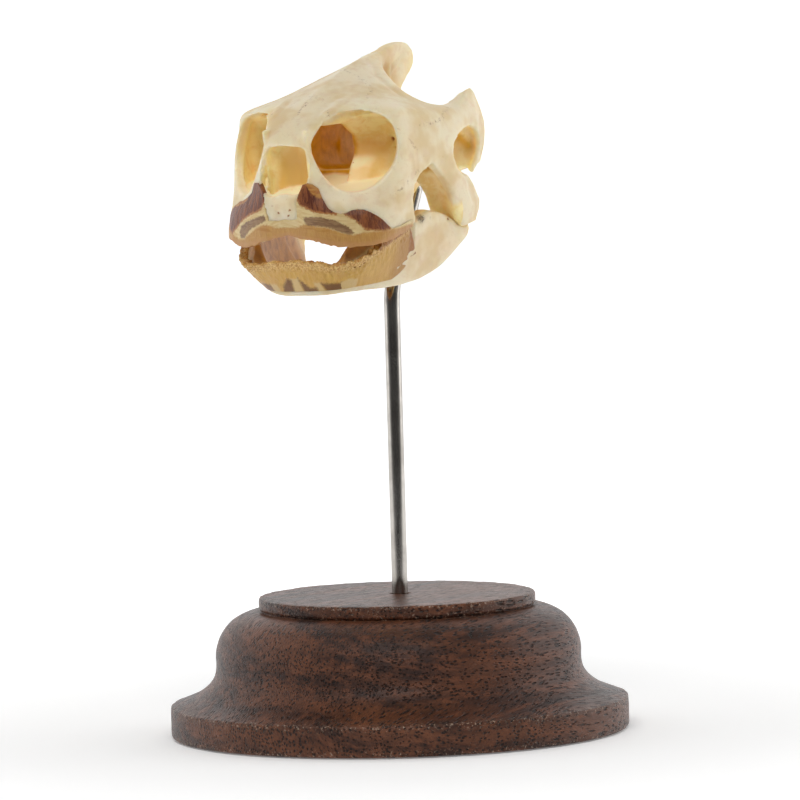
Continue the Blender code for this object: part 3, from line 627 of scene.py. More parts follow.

# %% Where the cranium is deep, hollow or lit through: masks for its painted shade, light and glow
across, back, up = places.T
facing = normals_of(cranium_mesh)
depth = np.array([skin_tree.find_nearest(place)[3] for place in places])
depth[(np.abs(across) < 1.6) & (back > 32) & (up > 12.5)] *= 0.2
# Nose and ear are shallow, but their walls get the same painted warm shade as those deep inside.
EDGE, WARMER = 0.35, 2.4
in_nose = (np.abs(across) < 5.2) & (back < 9) & (np.abs(up - 9) < 4.6)
in_ear = (np.abs(across) > 11) & (back > 24.5) & (np.abs(up - 6.6) < 3.9)
colour_depth = np.where((in_nose | in_ear) & (depth > EDGE), EDGE + (depth - EDGE) * WARMER, depth)
# The hind face and the outside of the jaw joint are pale outer bone, though far from the skin.
hind_face = smooth_step(0.1, 0.6, facing[:, 1]) * smooth_step(29, 32, back)
jaw_joint = (np.abs(across) > 12.5) & (back > 25.5) & (up < 3)
sideways = facing[:, 0] * np.sign(across)
hind_face = np.maximum(hind_face, smooth_step(-0.1, 0.3, sideways) * jaw_joint)
# How deep each point lies sets its painted warm shade and its faint painted glow.
keep_values(cranium_mesh, "depth", colour_depth * (1 - 0.85 * hind_face))
# The low floor of each orbit, facing up: painted light, a pale cream that glows.
lit_floor_zone = smooth_step(-9.5, -8, -up) * smooth_step(-17, -15.5, -back)
keep_values(cranium_mesh, "floor", smooth_step(0.3, 0.75, facing[:, 2]) * lit_floor_zone)
# Painted glow along the front of the ear, and painted shade and glow deep between the orbits.
EAR_GLOW = [(13.2, 31.0, 8.8), (13.5, 32.3, 7.4), (14.0, 33.4, 6.4)]
ear_front = np.exp(-(distance_to_line(np.abs(places), EAR_GLOW) / 1.1) ** 2)
shade_and_glow = smooth_step(-5.2, -4.2, -np.abs(across)) * smooth_step(6.6, 7.8, back)
shade_and_glow *= smooth_step(3.6, 4.6, up) * (depth > 1.9)
keep_values(cranium_mesh, "shade_and_glow", np.maximum(shade_and_glow, ear_front * smooth_step(0.3, 0.8, depth)))
print("deepest point below the skin:", round(float(depth.max()), 1), "mm")

# %% [markdown]
# ## The upper beak sheath
# Horn grows over the bone as a thin wall, so the sheath is cut from the same rows as the skin: a
# patch from the cutting edge up to an uneven border, given 0.75 mm of thickness. Distance round
# the jaw from the middle of the snout and height above the cutting edge place everything on it,
# the border and the bands of colour alike. Each band is an outline in those two distances, and the
# mesh keeps how far every point is from it, so the shader can draw a crisp but uneven edge. The
# two sides of this beak are not worn alike, so each has its own border and bands.

# %% Where the sheath's border runs, as (distance round the jaw, height)
LEFT_BORDER = [(0, 2.2), (1.4, 2.1), (2.1, 2.2), (2.25, 4.7), (2.7, 6.0), (3.3, 7.3), (4.2, 7.5),
               (5.0, 7.2), (5.8, 6.5), (6.2, 5.2), (6.7, 4.3), (7.2, 3.5), (8.0, 2.9), (9.0, 2.5),
               (9.7, 2.5), (10.7, 2.8), (11.6, 2.8), (12.6, 2.6), (13.5, 2.1), (14.5, 1.3),
               (15.3, 0.5), (16.0, -0.4), (16.6, -1.0), (18.2, -1.0), (20.4, -0.8), (22.0, -0.6)]
RIGHT_BORDER = [(0, 2.2), (1.6, 2.0), (3.0, 2.0), (3.3, 3.2), (3.7, 4.9), (4.0, 6.2), (4.8, 7.1),
                (5.6, 7.5), (7.0, 7.3), (7.8, 6.0), (9.0, 5.1), (10.6, 4.4), (12.6, 3.9),
                (14.0, 3.2), (15.2, 1.6), (16.2, 0.2), (17.4, -0.6), (20.0, -0.8), (22.0, -0.6)]
RIGHT_LIFT = [(0, 0), (8.3, 0), (9.8, 0.35), (11.5, 1.05), (12.9, 1.25), (14.5, 1.8), (16, 2.0),
              (18, 1.7), (22, 1.0)]
JAW_ROUND = np.array([(0, 0), (3.8, 0.1), (7.4, 1.2), (11.4, 3.9), (14.3, 8.4), (15.2, 13.5),
                      (16, 21), (16.2, 28)])
print("the left border rises to", max(height for _, height in LEFT_BORDER), "mm")

# %% Distance round the jaw, and the worn right edge


def distance_round(places, line):
    """How far round the jaw each point lies, from the middle of the snout."""
    best = np.full(len(places), 1e9)
    found = np.zeros(len(places))
    run = 0.0
    flat = np.stack([np.abs(places[:, 0]), places[:, 1]], 1)
    for start, end in zip(line, line[1:]):
        way = end - start
        length = np.linalg.norm(way)
        part = np.clip((flat - start) @ way / length**2, 0, 1)
        away = np.linalg.norm(flat - start - part[:, None] * way, axis=1)
        nearer = away < best
        best[nearer] = away[nearer]
        found[nearer] = (run + part * length)[nearer]
        run += length
    return found


def lift_right_edge(mesh):
    """The right cutting edge is worn higher than the left one."""
    places = points_of(mesh)
    lift = read_line(distance_round(places, JAW_ROUND), RIGHT_LIFT)
    share = np.clip((3 - places[:, 2]) / 5, 0, 1) * smooth_step(6, 9, -places[:, 0])
    places[:, 2] += lift * share
    move_points(mesh, places)


print("the right cutting edge is up to", max(lift for _, lift in RIGHT_LIFT), "mm higher")

# %% The sheath's mesh
SHEATH_WALL = 0.75
LAST_COLUMN = 4.9
LOWEST_TOP = 0.12


def sheath_patch(border, count_along, count_across):
    """Points of the skin from the cutting edge up to the border, in as many rows everywhere."""
    columns = np.linspace(0, LAST_COLUMN, count_along)
    rows = np.linspace(0, 3, 46)
    grid = skin_grid(columns, rows)
    round_jaw = distance_round(grid.reshape(-1, 3), JAW_ROUND).reshape(grid.shape[:2])
    above = grid[:, :, 2] - read_line(round_jaw, border)
    tops = [max(np.interp(0, above[:, j], rows), LOWEST_TOP) if above[0, j] < 0 else LOWEST_TOP
            for j in range(count_along)]
    return skin_grid(columns, [np.linspace(0, top, count_across) for top in tops])


sheath_counts = ((210, 62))
upper_sheath = thickened(sheet("upper_sheath", sheath_patch(LEFT_BORDER, *sheath_counts),
                               sheath_patch(RIGHT_BORDER, *sheath_counts)), SHEATH_WALL)
lift_right_edge(upper_sheath)
print("upper sheath:", triangles(upper_sheath), "triangles")

# %% Outlines of its bands of colour, left and right
LEFT_BANDS = {
    "dark": [(3.4, 7.6), (3.1, 6.6), (2.5, 5.4), (2.9, 4.5), (4.0, 3.9), (5.0, 3.4), (6.2, 3.1),
             (8.2, 2.7), (7.3, 3.9), (6.8, 4.6), (6.4, 5.2), (5.6, 5.6), (4.9, 6.1), (4.3, 6.9)],
    "rust": [(4.0, 7.7), (5.2, 7.5), (6.2, 6.6), (6.4, 5.0), (5.6, 5.2), (4.9, 5.8), (4.3, 6.6)],
    "lens": [(9.6, 2.5), (10.7, 2.9), (11.5, 2.9), (12.6, 2.7), (13.5, 2.2), (14.5, 1.4),
             (15.3, 0.6), (16.0, -0.4), (16.1, -0.8), (15.1, -0.8), (13.7, -0.5), (12.5, -0.2),
             (11.9, 0.5), (11.1, 1.4), (10.3, 2.0)],
    "grey": [(3.2, 2.5), (4.6, 2.5), (5.8, 2.4), (7.0, 2.0), (8.1, 1.6), (9.1, 1.0), (9.9, 0.4),
             (10.6, -0.5), (9.9, -0.7), (8.9, -0.3), (7.9, 0.2), (6.9, 0.7), (5.4, 1.0),
             (3.8, 1.2), (3.3, 1.8)],
    "thread": [(2.3, 0.95), (3.4, 0.9), (4.4, 0.8), (5.3, 0.4), (6.4, 0.35), (7.2, 0.2), (6.4, 0.1),
               (5.3, 0.2), (4.4, 0.6), (3.4, 0.7)],
}
RIGHT_BANDS = {
    "dark": [(7.2, 7.6), (5.2, 7.8), (3.9, 6.6), (3.6, 5.2), (4.2, 4.1), (5.2, 3.5), (6.9, 3.0),
             (8.8, 2.0), (10.2, 1.0), (11.8, -0.3), (13.4, 0.4), (15.4, 0.8), (16.6, 3.6),
             (12.9, 4.1), (10.6, 4.5), (9.0, 5.3), (7.9, 6.0)],
    "rust": [(9.0, 5.3), (10.6, 4.6), (12.9, 4.1), (14.6, 3.4), (14.4, 3.0), (12.0, 3.5),
             (10.2, 4.0), (8.8, 4.6)],
    "lens": [(30, 30), (30.1, 30), (30, 30.1)],
    "grey": [(9.5, 0.0), (9.0, 1.0), (7.6, 1.7), (6.1, 2.2), (5.0, 2.6), (3.7, 2.9), (3.4, 2.2),
             (4.2, 1.7), (5.5, 1.2), (6.7, 0.7), (7.6, -0.1), (8.2, -0.8), (9.2, -0.9)],
    "thread": [(5.7, 0.6), (4.6, 0.95), (3.2, 0.85), (2.6, 0.3), (4.0, 0.45)],
}
# The right side has no lens-shaped patch, so its outline lies far off the sheath.
print("bands of colour:", ", ".join(LEFT_BANDS))

# %% The way to an outline
def distance_to_outline(flat, outline):
    """Signed distance to a closed outline: negative inside."""
    outline = np.asarray(outline, float)
    best = np.full(len(flat), 1e9)
    inside = np.zeros(len(flat), bool)
    for start, end in zip(outline, np.roll(outline, -1, axis=0)):
        way = end - start
        part = np.clip((flat - start) @ way / (way @ way), 0, 1)
        best = np.minimum(best, np.linalg.norm(flat - start - part[:, None] * way, axis=1))
        crosses = (start[1] > flat[:, 1]) != (end[1] > flat[:, 1])
        rise = np.where(way[1] == 0, 1e-9, way[1])
        inside ^= crosses & (flat[:, 0] < start[0] + (flat[:, 1] - start[1]) * way[0] / rise)
    return np.where(inside, -best, best)


unit_square = [(0, 0), (1, 0), (1, 1), (0, 1)]
print("the middle of a unit square lies at",
      distance_to_outline(np.array([[0.5, 0.5]]), unit_square)[0])

# %% The sheath's fine form and its bands: where its cream layer ends below, and its cutting edge
LEFT_CREAM = [(2, 0.9), (3.4, 1.4), (5.4, 0.9), (6.9, 0.6), (7.9, 0.1), (8.9, -0.4), (10.5, -0.8),
              (12, -0.7), (14, -0.9), (16, -1.1), (20, -1.3)]
RIGHT_CREAM = [(2, 0.9), (3.4, 1.4), (4.2, 1.3), (5.5, 0.8), (7.6, -0.5), (8.4, -1.1), (9.5, -1.2),
               (11.6, -0.5), (13.3, 0.5), (15, 0.8), (20, -0.6)]
CUTTING_EDGE = [(0, -0.2), (4, -1.1), (8, -1.9), (12, -2.5), (15, -2.5), (18, -2.0), (22, -1.2)]


def dress_upper_sheath(mesh):
    """Gives the sheath fibres and a ragged edge, and keeps its bands for the shader."""
    places = points_of(mesh)
    round_jaw = distance_round(places, JAW_ROUND)
    flat = np.stack([round_jaw, places[:, 2]], 1)
    left = places[:, 0] >= 0
    signed = np.where(left, round_jaw, -round_jaw)
    for name in LEFT_BANDS:
        away = np.where(left, distance_to_outline(flat, LEFT_BANDS[name]),
                        distance_to_outline(flat, RIGHT_BANDS[name]))
        keep_values(mesh, name, np.clip(away, -3, 3))
    keep_values(mesh, "round_jaw", signed)
    cream_foot = np.where(left, read_line(round_jaw, LEFT_CREAM),
                          read_line(round_jaw, RIGHT_CREAM))
    keep_values(mesh, "above", places[:, 2] - cream_foot)
    lifted = np.where(left, 0, read_line(round_jaw, RIGHT_LIFT))
    height = places[:, 2] - (read_line(round_jaw, CUTTING_EDGE) + lifted)
    keep_values(mesh, "height", height)
    upright = places * [1, 1, 0.25]
    push = 0.03 + 0.035 * lattice_noise(upright, 0.55, 11) + 0.05 * lattice_noise(places, 1.7, 12)
    teeth = np.outer(signed, [1, 0, 0])
    ragged = 0.16 * lattice_noise(teeth, 0.45, 14) + 0.12 * lattice_noise(teeth, 1.3, 15)
    moved = places + normals_of(mesh) * push[:, None]
    moved[:, 2] += ragged * (1 - smooth_step(0.0, 0.9, height))
    move_points(mesh, moved)


dress_upper_sheath(upper_sheath)
print("values kept on the sheath:", ", ".join(layer.name for layer in upper_sheath.attributes))

# %% [markdown]
# ## Making room under the sheath
# The bone under horn lies a little deeper, so the bone points that the sheath covers are pushed
# in by 0.45 mm. They end up inside the sheath's wall, and its border stands a hair proud of the
# bone, as a real one does.

# %% Bone under the sheath
BONE_SINK = 0.45


def sink_under_sheath(mesh, depth):
    places = points_of(mesh)
    round_jaw = distance_round(places, JAW_ROUND)
    border = np.where(places[:, 0] >= 0, read_line(round_jaw, LEFT_BORDER),
                      read_line(round_jaw, RIGHT_BORDER))
    covered = smooth_step(0.0, 0.35, border - places[:, 2]) * (round_jaw < 21.5)
    covered *= (1 - smooth_step(0.5, 1.2, depth)) * (places[:, 1] < 22)
    move_points(mesh, places - normals_of(mesh) * (BONE_SINK * covered)[:, None])
    keep_values(mesh, "grime", nearness(places, (15.0, 16.6, -0.6), 1.5))
    return covered


lift_right_edge(cranium_mesh)
covered = sink_under_sheath(cranium_mesh, depth)
print("the sheath covers", int((covered > 0.5).sum()), "of the cranium's points")

# %% [markdown]
# ## The lower jaw
# The mandible is a loft along a U. Eleven stations give its outer top, its outer bottom and its
# thickness, and the curve through them is sampled densely. The lower sheath is a second loft over
# the same stations that wraps over the jaw's edge, with a ragged, grainy rim. Two sculpted bodies
# would do as well, but one set of numbers keeps the horn on its bone.

# %% Stations of the lower jaw: outer top, outer bottom, wall
JAW_STATIONS = [
    ((0, -0.6, -4.6), (0, 0.9, -9.9), 3.2),
    ((4, -0.4, -4.8), (3.0, 1.4, -10.0), 3.2),
    ((7.8, 0.5, -5.4), (5.7, 3.4, -10.1), 3.0),
    ((10.6, 2.9, -5.0), (8.0, 7.0, -10.4), 2.8),
    ((12.3, 6.6, -3.6), (9.5, 11.5, -11.0), 2.6),
    ((13.1, 11, -2.6), (10.7, 16.2, -11.4), 2.5),
    ((13.6, 15.5, -1.6), (11.6, 20.0, -11.3), 2.5),
    ((13.9, 20, -1.2), (12.7, 23.0, -10.5), 2.6),
    ((14.3, 23.8, -2.5), (13.8, 25.2, -9.1), 3.0),
    ((14.9, 26.9, -4.9), (14.6, 27.2, -7.5), 4.4),
    ((14.6, 29.6, -5.1), (14.4, 29.2, -6.8), 3.6),
]
JAW_LINE = np.array([top[:2] for top, _, _ in JAW_STATIONS])
SHEATH_END = 5.55
# The crest that the jaw muscles pull on, as (station, height above the inner edge).
RIDGE = [(0, 0), (1.6, 0), (2.0, 0.6), (2.5, 2.0), (3.0, 3.0), (3.6, 3.3), (4.4, 2.6), (5.4, 1.6),
         (6.4, 0.9), (7.4, 0.4), (10, 0)]
print("the jaw has", len(JAW_STATIONS), "stations on each side")

# %% Rings round the jaw
def jaw_station(where, side=1):
    """Outer top, outer bottom, wall and the way inwards. The right branch spreads a bit more."""
    tops = [top for top, _, _ in JAW_STATIONS]
    lows = [low for _, low, _ in JAW_STATIONS]
    top = Vector(smooth_at(tops, where)[0])
    low = Vector(smooth_at(lows, where)[0])
    wall = float(np.interp(where, range(len(JAW_STATIONS)), [w for _, _, w in JAW_STATIONS]))
    ahead = Vector(smooth_at(tops, where + 0.05)[0]) - Vector(smooth_at(tops, where - 0.05)[0])
    inward = Vector((-ahead.y, ahead.x, 0)).normalized() if where > 0.05 else Vector((0, 1, 0))
    if side < 0 and where > 6:
        spread_out = Vector((0.9 * smooth_step(6, 9, where), 0, 0))
        top, low, wall = top + spread_out, low + spread_out, min(wall, 2.1)
    return top, low, wall, inward


def jaw_ring(where, side=1):
    top, low, wall, inward = jaw_station(where, side)
    out = -0.25 * inward
    lift = Vector((0, 0, 0.15))
    ridge = Vector((0, 0, float(read_line(where, RIDGE))))
    return smooth_line([
        top + inward * wall * 0.12, top.lerp(low, 0.08) + out * 0.3,
        top.lerp(low, 0.35) + out, top.lerp(low, 0.7) + out, low.lerp(top, 0.06) + out * 0.3,
        low + inward * wall * 0.4 - lift, low.lerp(top, 0.1) + inward * wall * 0.85,
        low.lerp(top, 0.5) + inward * wall * 0.72, top.lerp(low, 0.12) + inward * wall + ridge,
        top.lerp(low, 0.03) + inward * wall * 0.72 + ridge], 40, closed=True)


def whole_u(ring, places):
    """Rings along the left side, then the same rings mirrored."""
    left = [ring(where) for where in places]
    right = [[(-x, y, z) for x, y, z in ring(where, -1)] for where in places]
    return left[::-1] + right[1:]


print("one ring of the jaw has", len(jaw_ring(5)), "points")

# %% The mandible's mesh
mandible_mesh = body_of_loops(whole_u(jaw_ring, np.linspace(0, 10, 200)), "mandible")
mandible_mesh = one_skin(mandible_mesh, 0.26, 2, 1.0)
JAW_PITS = [((14.4, 24.2, -3.2), 0.42, 0.35), ((14.6, 27.2, -5.9), 0.45, 0.3),
            ((13.2, 17.4, -7.8), 0.2, 0.2)]
jaw_places = press_bone(mandible_mesh, [], [[(13.6, 19.4, -2), (12.8, 20.6, -6), (12.4, 23, -10)]],
                        JAW_PITS, 21)
print("mandible:", triangles(mandible_mesh), "triangles")

# %% Room under the lower sheath
SHEATH_FOOT = [(0, -9.3), (4.6, -9.1), (9.4, -8.8), (15, -9.2), (19.4, -8.6), (21.6, -7.6),
               (23.2, -6)]
JAW_SINK = 0.62


def sink_jaw_under_sheath(mesh):
    """The jaw's outer face lies deeper where horn covers it."""
    places = points_of(mesh)
    round_jaw = distance_round(places, JAW_LINE)
    foot = read_line(round_jaw, SHEATH_FOOT)
    normals = normals_of(mesh)
    outward = np.clip(-(normals @ [0, 1, 0]) + np.abs(normals[:, 0]), 0, 1)
    outer = np.where(places[:, 0] * normals[:, 0] > -0.2, outward, 0)
    covered = smooth_step(0.0, 0.4, places[:, 2] - foot) * smooth_step(-24.4, -23.8, -round_jaw)
    move_points(mesh, places - normals * (JAW_SINK * covered * outer)[:, None])
    return covered


covered = sink_jaw_under_sheath(mandible_mesh)
print("the sheath covers", int((covered > 0.5).sum()), "of the mandible's points")

# %% How deep the mandible's points lie
def jaw_depth(places):
    """How far inside the jaw's outer wall each point lies, for the painted warm shade of its inner
    face.
    """
    stations, heights = 120, 5
    outer, faces = [], []
    for side in (1, -1):
        for k, where in enumerate(np.linspace(0, 10, stations)):
            first = len(outer)
            top, low, _, _ = jaw_station(where, side)
            outer += [top.lerp(low, part) for part in np.linspace(0, 1, heights)]
            if k < stations - 1:
                faces += [(i, i + 1, i + 1 + heights, i + heights)
                          for i in range(first, first + heights - 1)]
    outer = [(side * x, y, z) for side, half in ((1, outer[:len(outer) // 2]),
                                                 (-1, outer[len(outer) // 2:])) for x, y, z in half]
    tree = BVHTree.FromPolygons(outer, faces)
    return np.array([tree.find_nearest(place)[3] for place in places])


wall_depth = jaw_depth(jaw_places)
# Inner faces get painted warm shade, and the deepest ones also a painted glow; the jaw has no
# painted lit floor.
keep_values(mandible_mesh, "depth", wall_depth * 1.6)
jaw_way_round = distance_round(jaw_places, JAW_LINE) * np.where(jaw_places[:, 0] < 0, 0.8, 1)
keep_values(mandible_mesh, "shade_and_glow",
            smooth_step(0.7, 1.3, wall_depth) * smooth_step(-31, -23, -jaw_way_round))
keep_values(mandible_mesh, "floor", np.zeros(len(jaw_places)))
keep_values(mandible_mesh, "grime", nearness(jaw_places, (13.9, 17.0, -1.4), 1.0))
print("the mandible's wall is up to", round(float(wall_depth.max()), 1), "mm deep")

# %% The lower sheath's rings
# How many points lie on each stretch of a ring, from its foot round the rim and back inside.
STRETCHES = (16, 16, 5, 6, 2, 4, 6, 6, 3)


def lower_sheath_ring(where, side=1):
    """One ring of the sheath: up its outside, over the jaw's edge and down its inside."""
    top, low, wall, inward = jaw_station(where, side)
    fade = min(1.0, max(0.25, (SHEATH_END - where) / 1.4))
    foot = top.lerp(low, 0.83 * fade**0.35)
    out = -0.3 * inward
    up = Vector((0, 0, 0.35))
    skin_in = inward * 0.45
    shelf = inward * wall * 0.7
    down = Vector((0, 0, -0.55))
    corners = [
        foot + out, top.lerp(foot, 0.5) + out, top + out * 0.8 + up, top + inward * 0.6 + up,
        top + shelf + up * 0.1, top + shelf + down, top + skin_in + down * 1.1,
        top.lerp(foot, 0.5) + skin_in, foot + skin_in]
    ring = []
    for a, b, count in zip(corners, corners[1:] + corners[:1], STRETCHES):
        ring += [a.lerp(b, i / count) for i in range(count)]
    return ring


print("one ring of the sheath has", len(lower_sheath_ring(2)), "points")

# %% Its patches of colour, as outlines in distance round the jaw and height
LOWER_PATCHES = {
    "patch": [[(-7.2, -7.9), (-4.9, -8.1), (-4.4, -9.8), (-7.4, -9.8)],
              [(-2.0, -8.1), (-0.9, -6.9), (-0.2, -7.2), (-0.3, -9.6), (-2.4, -9.6)],
              [(1.0, -6.8), (1.8, -7.6), (2.6, -8.5), (3.6, -8.5), (3.9, -9.8), (1.7, -9.8)],
              [(4.6, -7.8), (5.6, -8.0), (7.4, -8.2), (8.4, -7.9), (7.2, -9.4), (5.2, -9.4)]],
    "pale": [[(-4.8, -7.9), (-3.2, -7.9), (-2.6, -9.8), (-4.4, -9.8)],
             [(-0.2, -6.9), (0.9, -6.9), (1.5, -9.8), (-0.3, -9.8)],
             [(3.4, -7.7), (4.5, -7.7), (5.2, -9.8), (3.9, -9.8)],
             [(7.6, -8.3), (9.6, -7.7), (11.4, -8.0), (10.8, -9.4), (7.8, -9.4)]],
}
print("patches near the chin:", {name: len(found) for name, found in LOWER_PATCHES.items()})

# %% The lower sheath's mesh
def lower_sheath_mesh(count):
    mesh = body_of_loops(whole_u(lower_sheath_ring, np.linspace(0, SHEATH_END, count)), "lower")
    places = points_of(mesh)
    normals = normals_of(mesh)
    round_jaw = distance_round(places, JAW_LINE)
    below_top = np.interp(round_jaw, *jaw_top_heights()) - places[:, 2]
    signed = np.where(places[:, 0] >= 0, round_jaw, -round_jaw)
    comb = np.stack([signed, places[:, 1] * 0.3, places[:, 2] * 0.1], 1)
    teeth = np.abs(lattice_noise(comb, 0.62, 31)) * 0.8 + 0.25 * lattice_noise(comb, 1.6, 32)
    rim = 1 - smooth_step(-0.4, 0.9, below_top)
    grain = lattice_noise(places, 0.42, 33) * (1 - smooth_step(0.5, 4.0, below_top))
    push = 0.15 * grain + 0.03 * lattice_noise(places, 0.9, 34)
    moved = places + normals * push[:, None]
    moved[:, 2] += (teeth - 0.25) * rim * (1 - 0.5 * (round_jaw < 6))
    move_points(mesh, moved)
    keep_values(mesh, "round_jaw", signed)
    keep_values(mesh, "below_top", below_top)
    keep_values(mesh, "grime", nearness(places, (13.6, 16.6, -1.8), 0.9))
    # The mouth side, for its painted warm shade.
    ring_place = np.arange(len(places)) % sum(STRETCHES)
    keep_values(mesh, "mouth", smooth_step(37, 41, ring_place))
    hind_rim = np.minimum(np.where(round_jaw > 15, below_top, 3), 23.2 - round_jaw)
    keep_values(mesh, "rim", hind_rim)
    flat = np.stack([signed, places[:, 2]], 1)
    for name, outlines in LOWER_PATCHES.items():
        away = np.min([distance_to_outline(flat, outline) for outline in outlines], axis=0)
        keep_values(mesh, name, np.clip(away, -3, 3))
    return mesh


def jaw_top_heights():
    """The jaw's top height against distance round it."""
    wheres = np.linspace(0, 10, 60)
    tops = smooth_at([top for top, _, _ in JAW_STATIONS], wheres)
    return distance_round(tops, JAW_LINE), tops[:, 2]


lower_sheath = lower_sheath_mesh(330)
print("lower sheath:", triangles(lower_sheath), "triangles")


# %% [markdown]
# ## The rod
# A mount maker bends a length of 2.5 mm steel rod once, under the skull, and sets its tip in a
# drilled hole. A bevelled curve would do, but a circle swept along the route in code lets the rings
# stand close in the bend and wide apart elsewhere. The rod stands a hair off the base's middle, as
# in the photograph.

# %% The rod's route and mesh
ROD_RADIUS = 1.25
ROD_SHIFT = Vector((0.45, 0.25, 0))
ROD_TIP = Vector((1.15, 6.75, 85.4)) + ROD_SHIFT
BEND_START = 66.5
BEND_REACH = 2.5


def rod_route():
    start = Vector((0, 0, BEND_START)) + ROD_SHIFT
    knee = Vector((0, 0, BEND_START + BEND_REACH)) + ROD_SHIFT
    end = knee + (ROD_TIP - knee).normalized() * BEND_REACH
    bend = [start * (1 - t) ** 2 + knee * 2 * t * (1 - t) + end * t**2
            for t in np.linspace(0, 1, 25)]
    straight = [Vector((0, 0, z)) + ROD_SHIFT for z in np.linspace(9.8, 66.0, 40)]
    return straight + bend + [end.lerp(ROD_TIP, t) for t in np.linspace(0.1, 1, 10)]


def rod_mesh():
    route = rod_route()
    loops = []
    for i, place in enumerate(route):
        ahead = route[min(i + 1, len(route) - 1)] - route[max(i - 1, 0)]
        side = Vector((1, 0, 0)) - ahead * ahead.x / ahead.length_squared
        side.normalize()
        up = ahead.cross(side).normalized()
        loops.append([place + (side * math.cos(a) + up * math.sin(a)) * ROD_RADIUS
                      for a in np.arange(56) * 2 * math.pi / 56])
    return body_of_loops(loops, "rod")


rod = rod_mesh()
print("rod:", triangles(rod), "triangles")

# %% [markdown]
# ## The turned base
# The base came off a lathe, so it is one profile turned round the upright axis: a plinth, a cove,
# a rounded bulge, a small step and the flat top plate with the rod's hole. Straight parts stay
# straight and curved parts are smooth lines. A lathe leaves faint rings and sanding rounds each
# edge unevenly, which a little noise on the radius gives. Blender's Screw modifier turns a profile
# too, but here the points are wanted one by one, for the noise and for how worn each one is.

# %% The profile, as (radius, height)
PROFILE = [
    ("straight", [(0, 9.4), (1.62, 9.4), (1.62, 21.2), (1.8, 21.4), (21.1, 21.4)], 70),
    ("curve", [(21.1, 21.4), (21.5, 21.3), (21.65, 21.0)], 8),
    ("straight", [(21.65, 21.0), (21.65, 19.75)], 8),
    ("curve", [(21.65, 19.75), (21.5, 19.45), (21.3, 19.3), (21.6, 19.22), (22.4, 19.2),
               (23.8, 18.85), (25.3, 18.15), (26.4, 17.3), (27.3, 16.2), (27.95, 15.0),
               (28.4, 13.6), (28.55, 12.4), (28.5, 11.3), (28.6, 10.1), (28.85, 9.2),
               (29.3, 8.4), (29.9, 7.7), (30.8, 6.95), (32.0, 6.2), (33.4, 5.6), (34.8, 5.05)], 84),
    ("curve", [(34.8, 5.05), (35.35, 4.9), (35.68, 4.75), (35.8, 4.5)], 9),
    ("straight", [(35.8, 4.5), (35.8, 0.45)], 14),
    ("curve", [(35.8, 0.45), (35.7, 0.15), (35.4, 0)], 6),
    ("straight", [(35.4, 0), (0, 0)], 10),
]


# The edges that wear first, as (radius, height).
WORN_EDGES = [(21.4, 21.2), (35.6, 4.7), (35.7, 0.2), (21.4, 19.6)]
print("the base is", 2 * max(r for _, run, _ in PROFILE for r, _ in run), "mm across")

# %% The base's mesh
def profile_points():
    found = []
    for kind, points, count in PROFILE:
        if kind == "curve":
            run = smooth_line([(r, 0, h) for r, h in points], count)[:, [0, 2]]
        else:
            points = np.array(points, float)
            lengths = np.r_[0, np.cumsum(np.linalg.norm(np.diff(points, axis=0), axis=1))]
            at = np.unique(np.r_[np.linspace(0, lengths[-1], count), lengths])
            run = np.stack([np.interp(at, lengths, points[:, k]) for k in (0, 1)], 1)
        found += [tuple(p) for p in run if not found or np.hypot(*(p - found[-1])) > 1e-3]
    return found


def base_mesh(around):
    profile = profile_points()
    bm = bmesh.new()
    top = bm.verts.new((0, 0, profile[0][1]))
    low = bm.verts.new((0, 0, profile[-1][1]))
    rings = [[bm.verts.new((r * math.cos(a), r * math.sin(a), z))
              for a in np.arange(around) * 2 * math.pi / around] for r, z in profile[1:-1]]
    for i in range(around):
        j = (i + 1) % around
        bm.faces.new((top, rings[0][i], rings[0][j]))
        bm.faces.new((low, rings[-1][j], rings[-1][i]))
        for inner, outer in zip(rings, rings[1:]):
            bm.faces.new((inner[i], outer[i], outer[j], inner[j]))
    bmesh.ops.recalc_face_normals(bm, faces=bm.faces)
    mesh = finish_mesh(bm, "base")
    places = points_of(mesh)
    radius = np.hypot(places[:, 0], places[:, 1])
    tool_marks = lattice_noise(places * [0, 0, 1], 0.5, 41)
    push = 0.012 * tool_marks + 0.05 * lattice_noise(places, 9, 42)
    near = np.min([np.hypot(radius - r, places[:, 2] - z) for r, z in WORN_EDGES], axis=0)
    worn = np.exp(-(near / 0.7) ** 2)
    push -= worn * 0.10 * np.clip(lattice_noise(places, 1.6, 43) + 0.3, 0, 1)
    push *= smooth_step(2.5, 6, radius) * (places[:, 2] > 0.01)
    hole = (1 - smooth_step(1.7, 5, radius))[:, None] * np.array(ROD_SHIFT)
    move_points(mesh, places + normals_of(mesh) * push[:, None] + hole)
    keep_values(mesh, "worn", worn)
    return mesh


base = base_mesh(460)
print("base:", triangles(base), "triangles")
# %% [markdown]
# ## Colours and a helper for nodes
# Colours are written as a screen shows them, in hex, and one function turns them to the linear
# values that Cycles mixes. One more function adds any node, sets it up and links its inputs.
# The pieces' own units are millimetres, so a pattern's scale is one over its size in millimetres.

# %% Colour and node helpers
def colour(code):
    parts = [int(code[i:i + 2], 16) / 255 for i in (1, 3, 5)]
    return tuple(v / 12.92 if v <= 0.04045 else ((v + 0.055) / 1.055) ** 2.4 for v in parts) + (1,)


def per_mm(*sizes):
    """The scale that gives a pattern this size in millimetres, or these sizes along X, Y and Z."""
    scales = tuple(1 / size for size in sizes)
    return scales if len(scales) > 1 else scales[0]


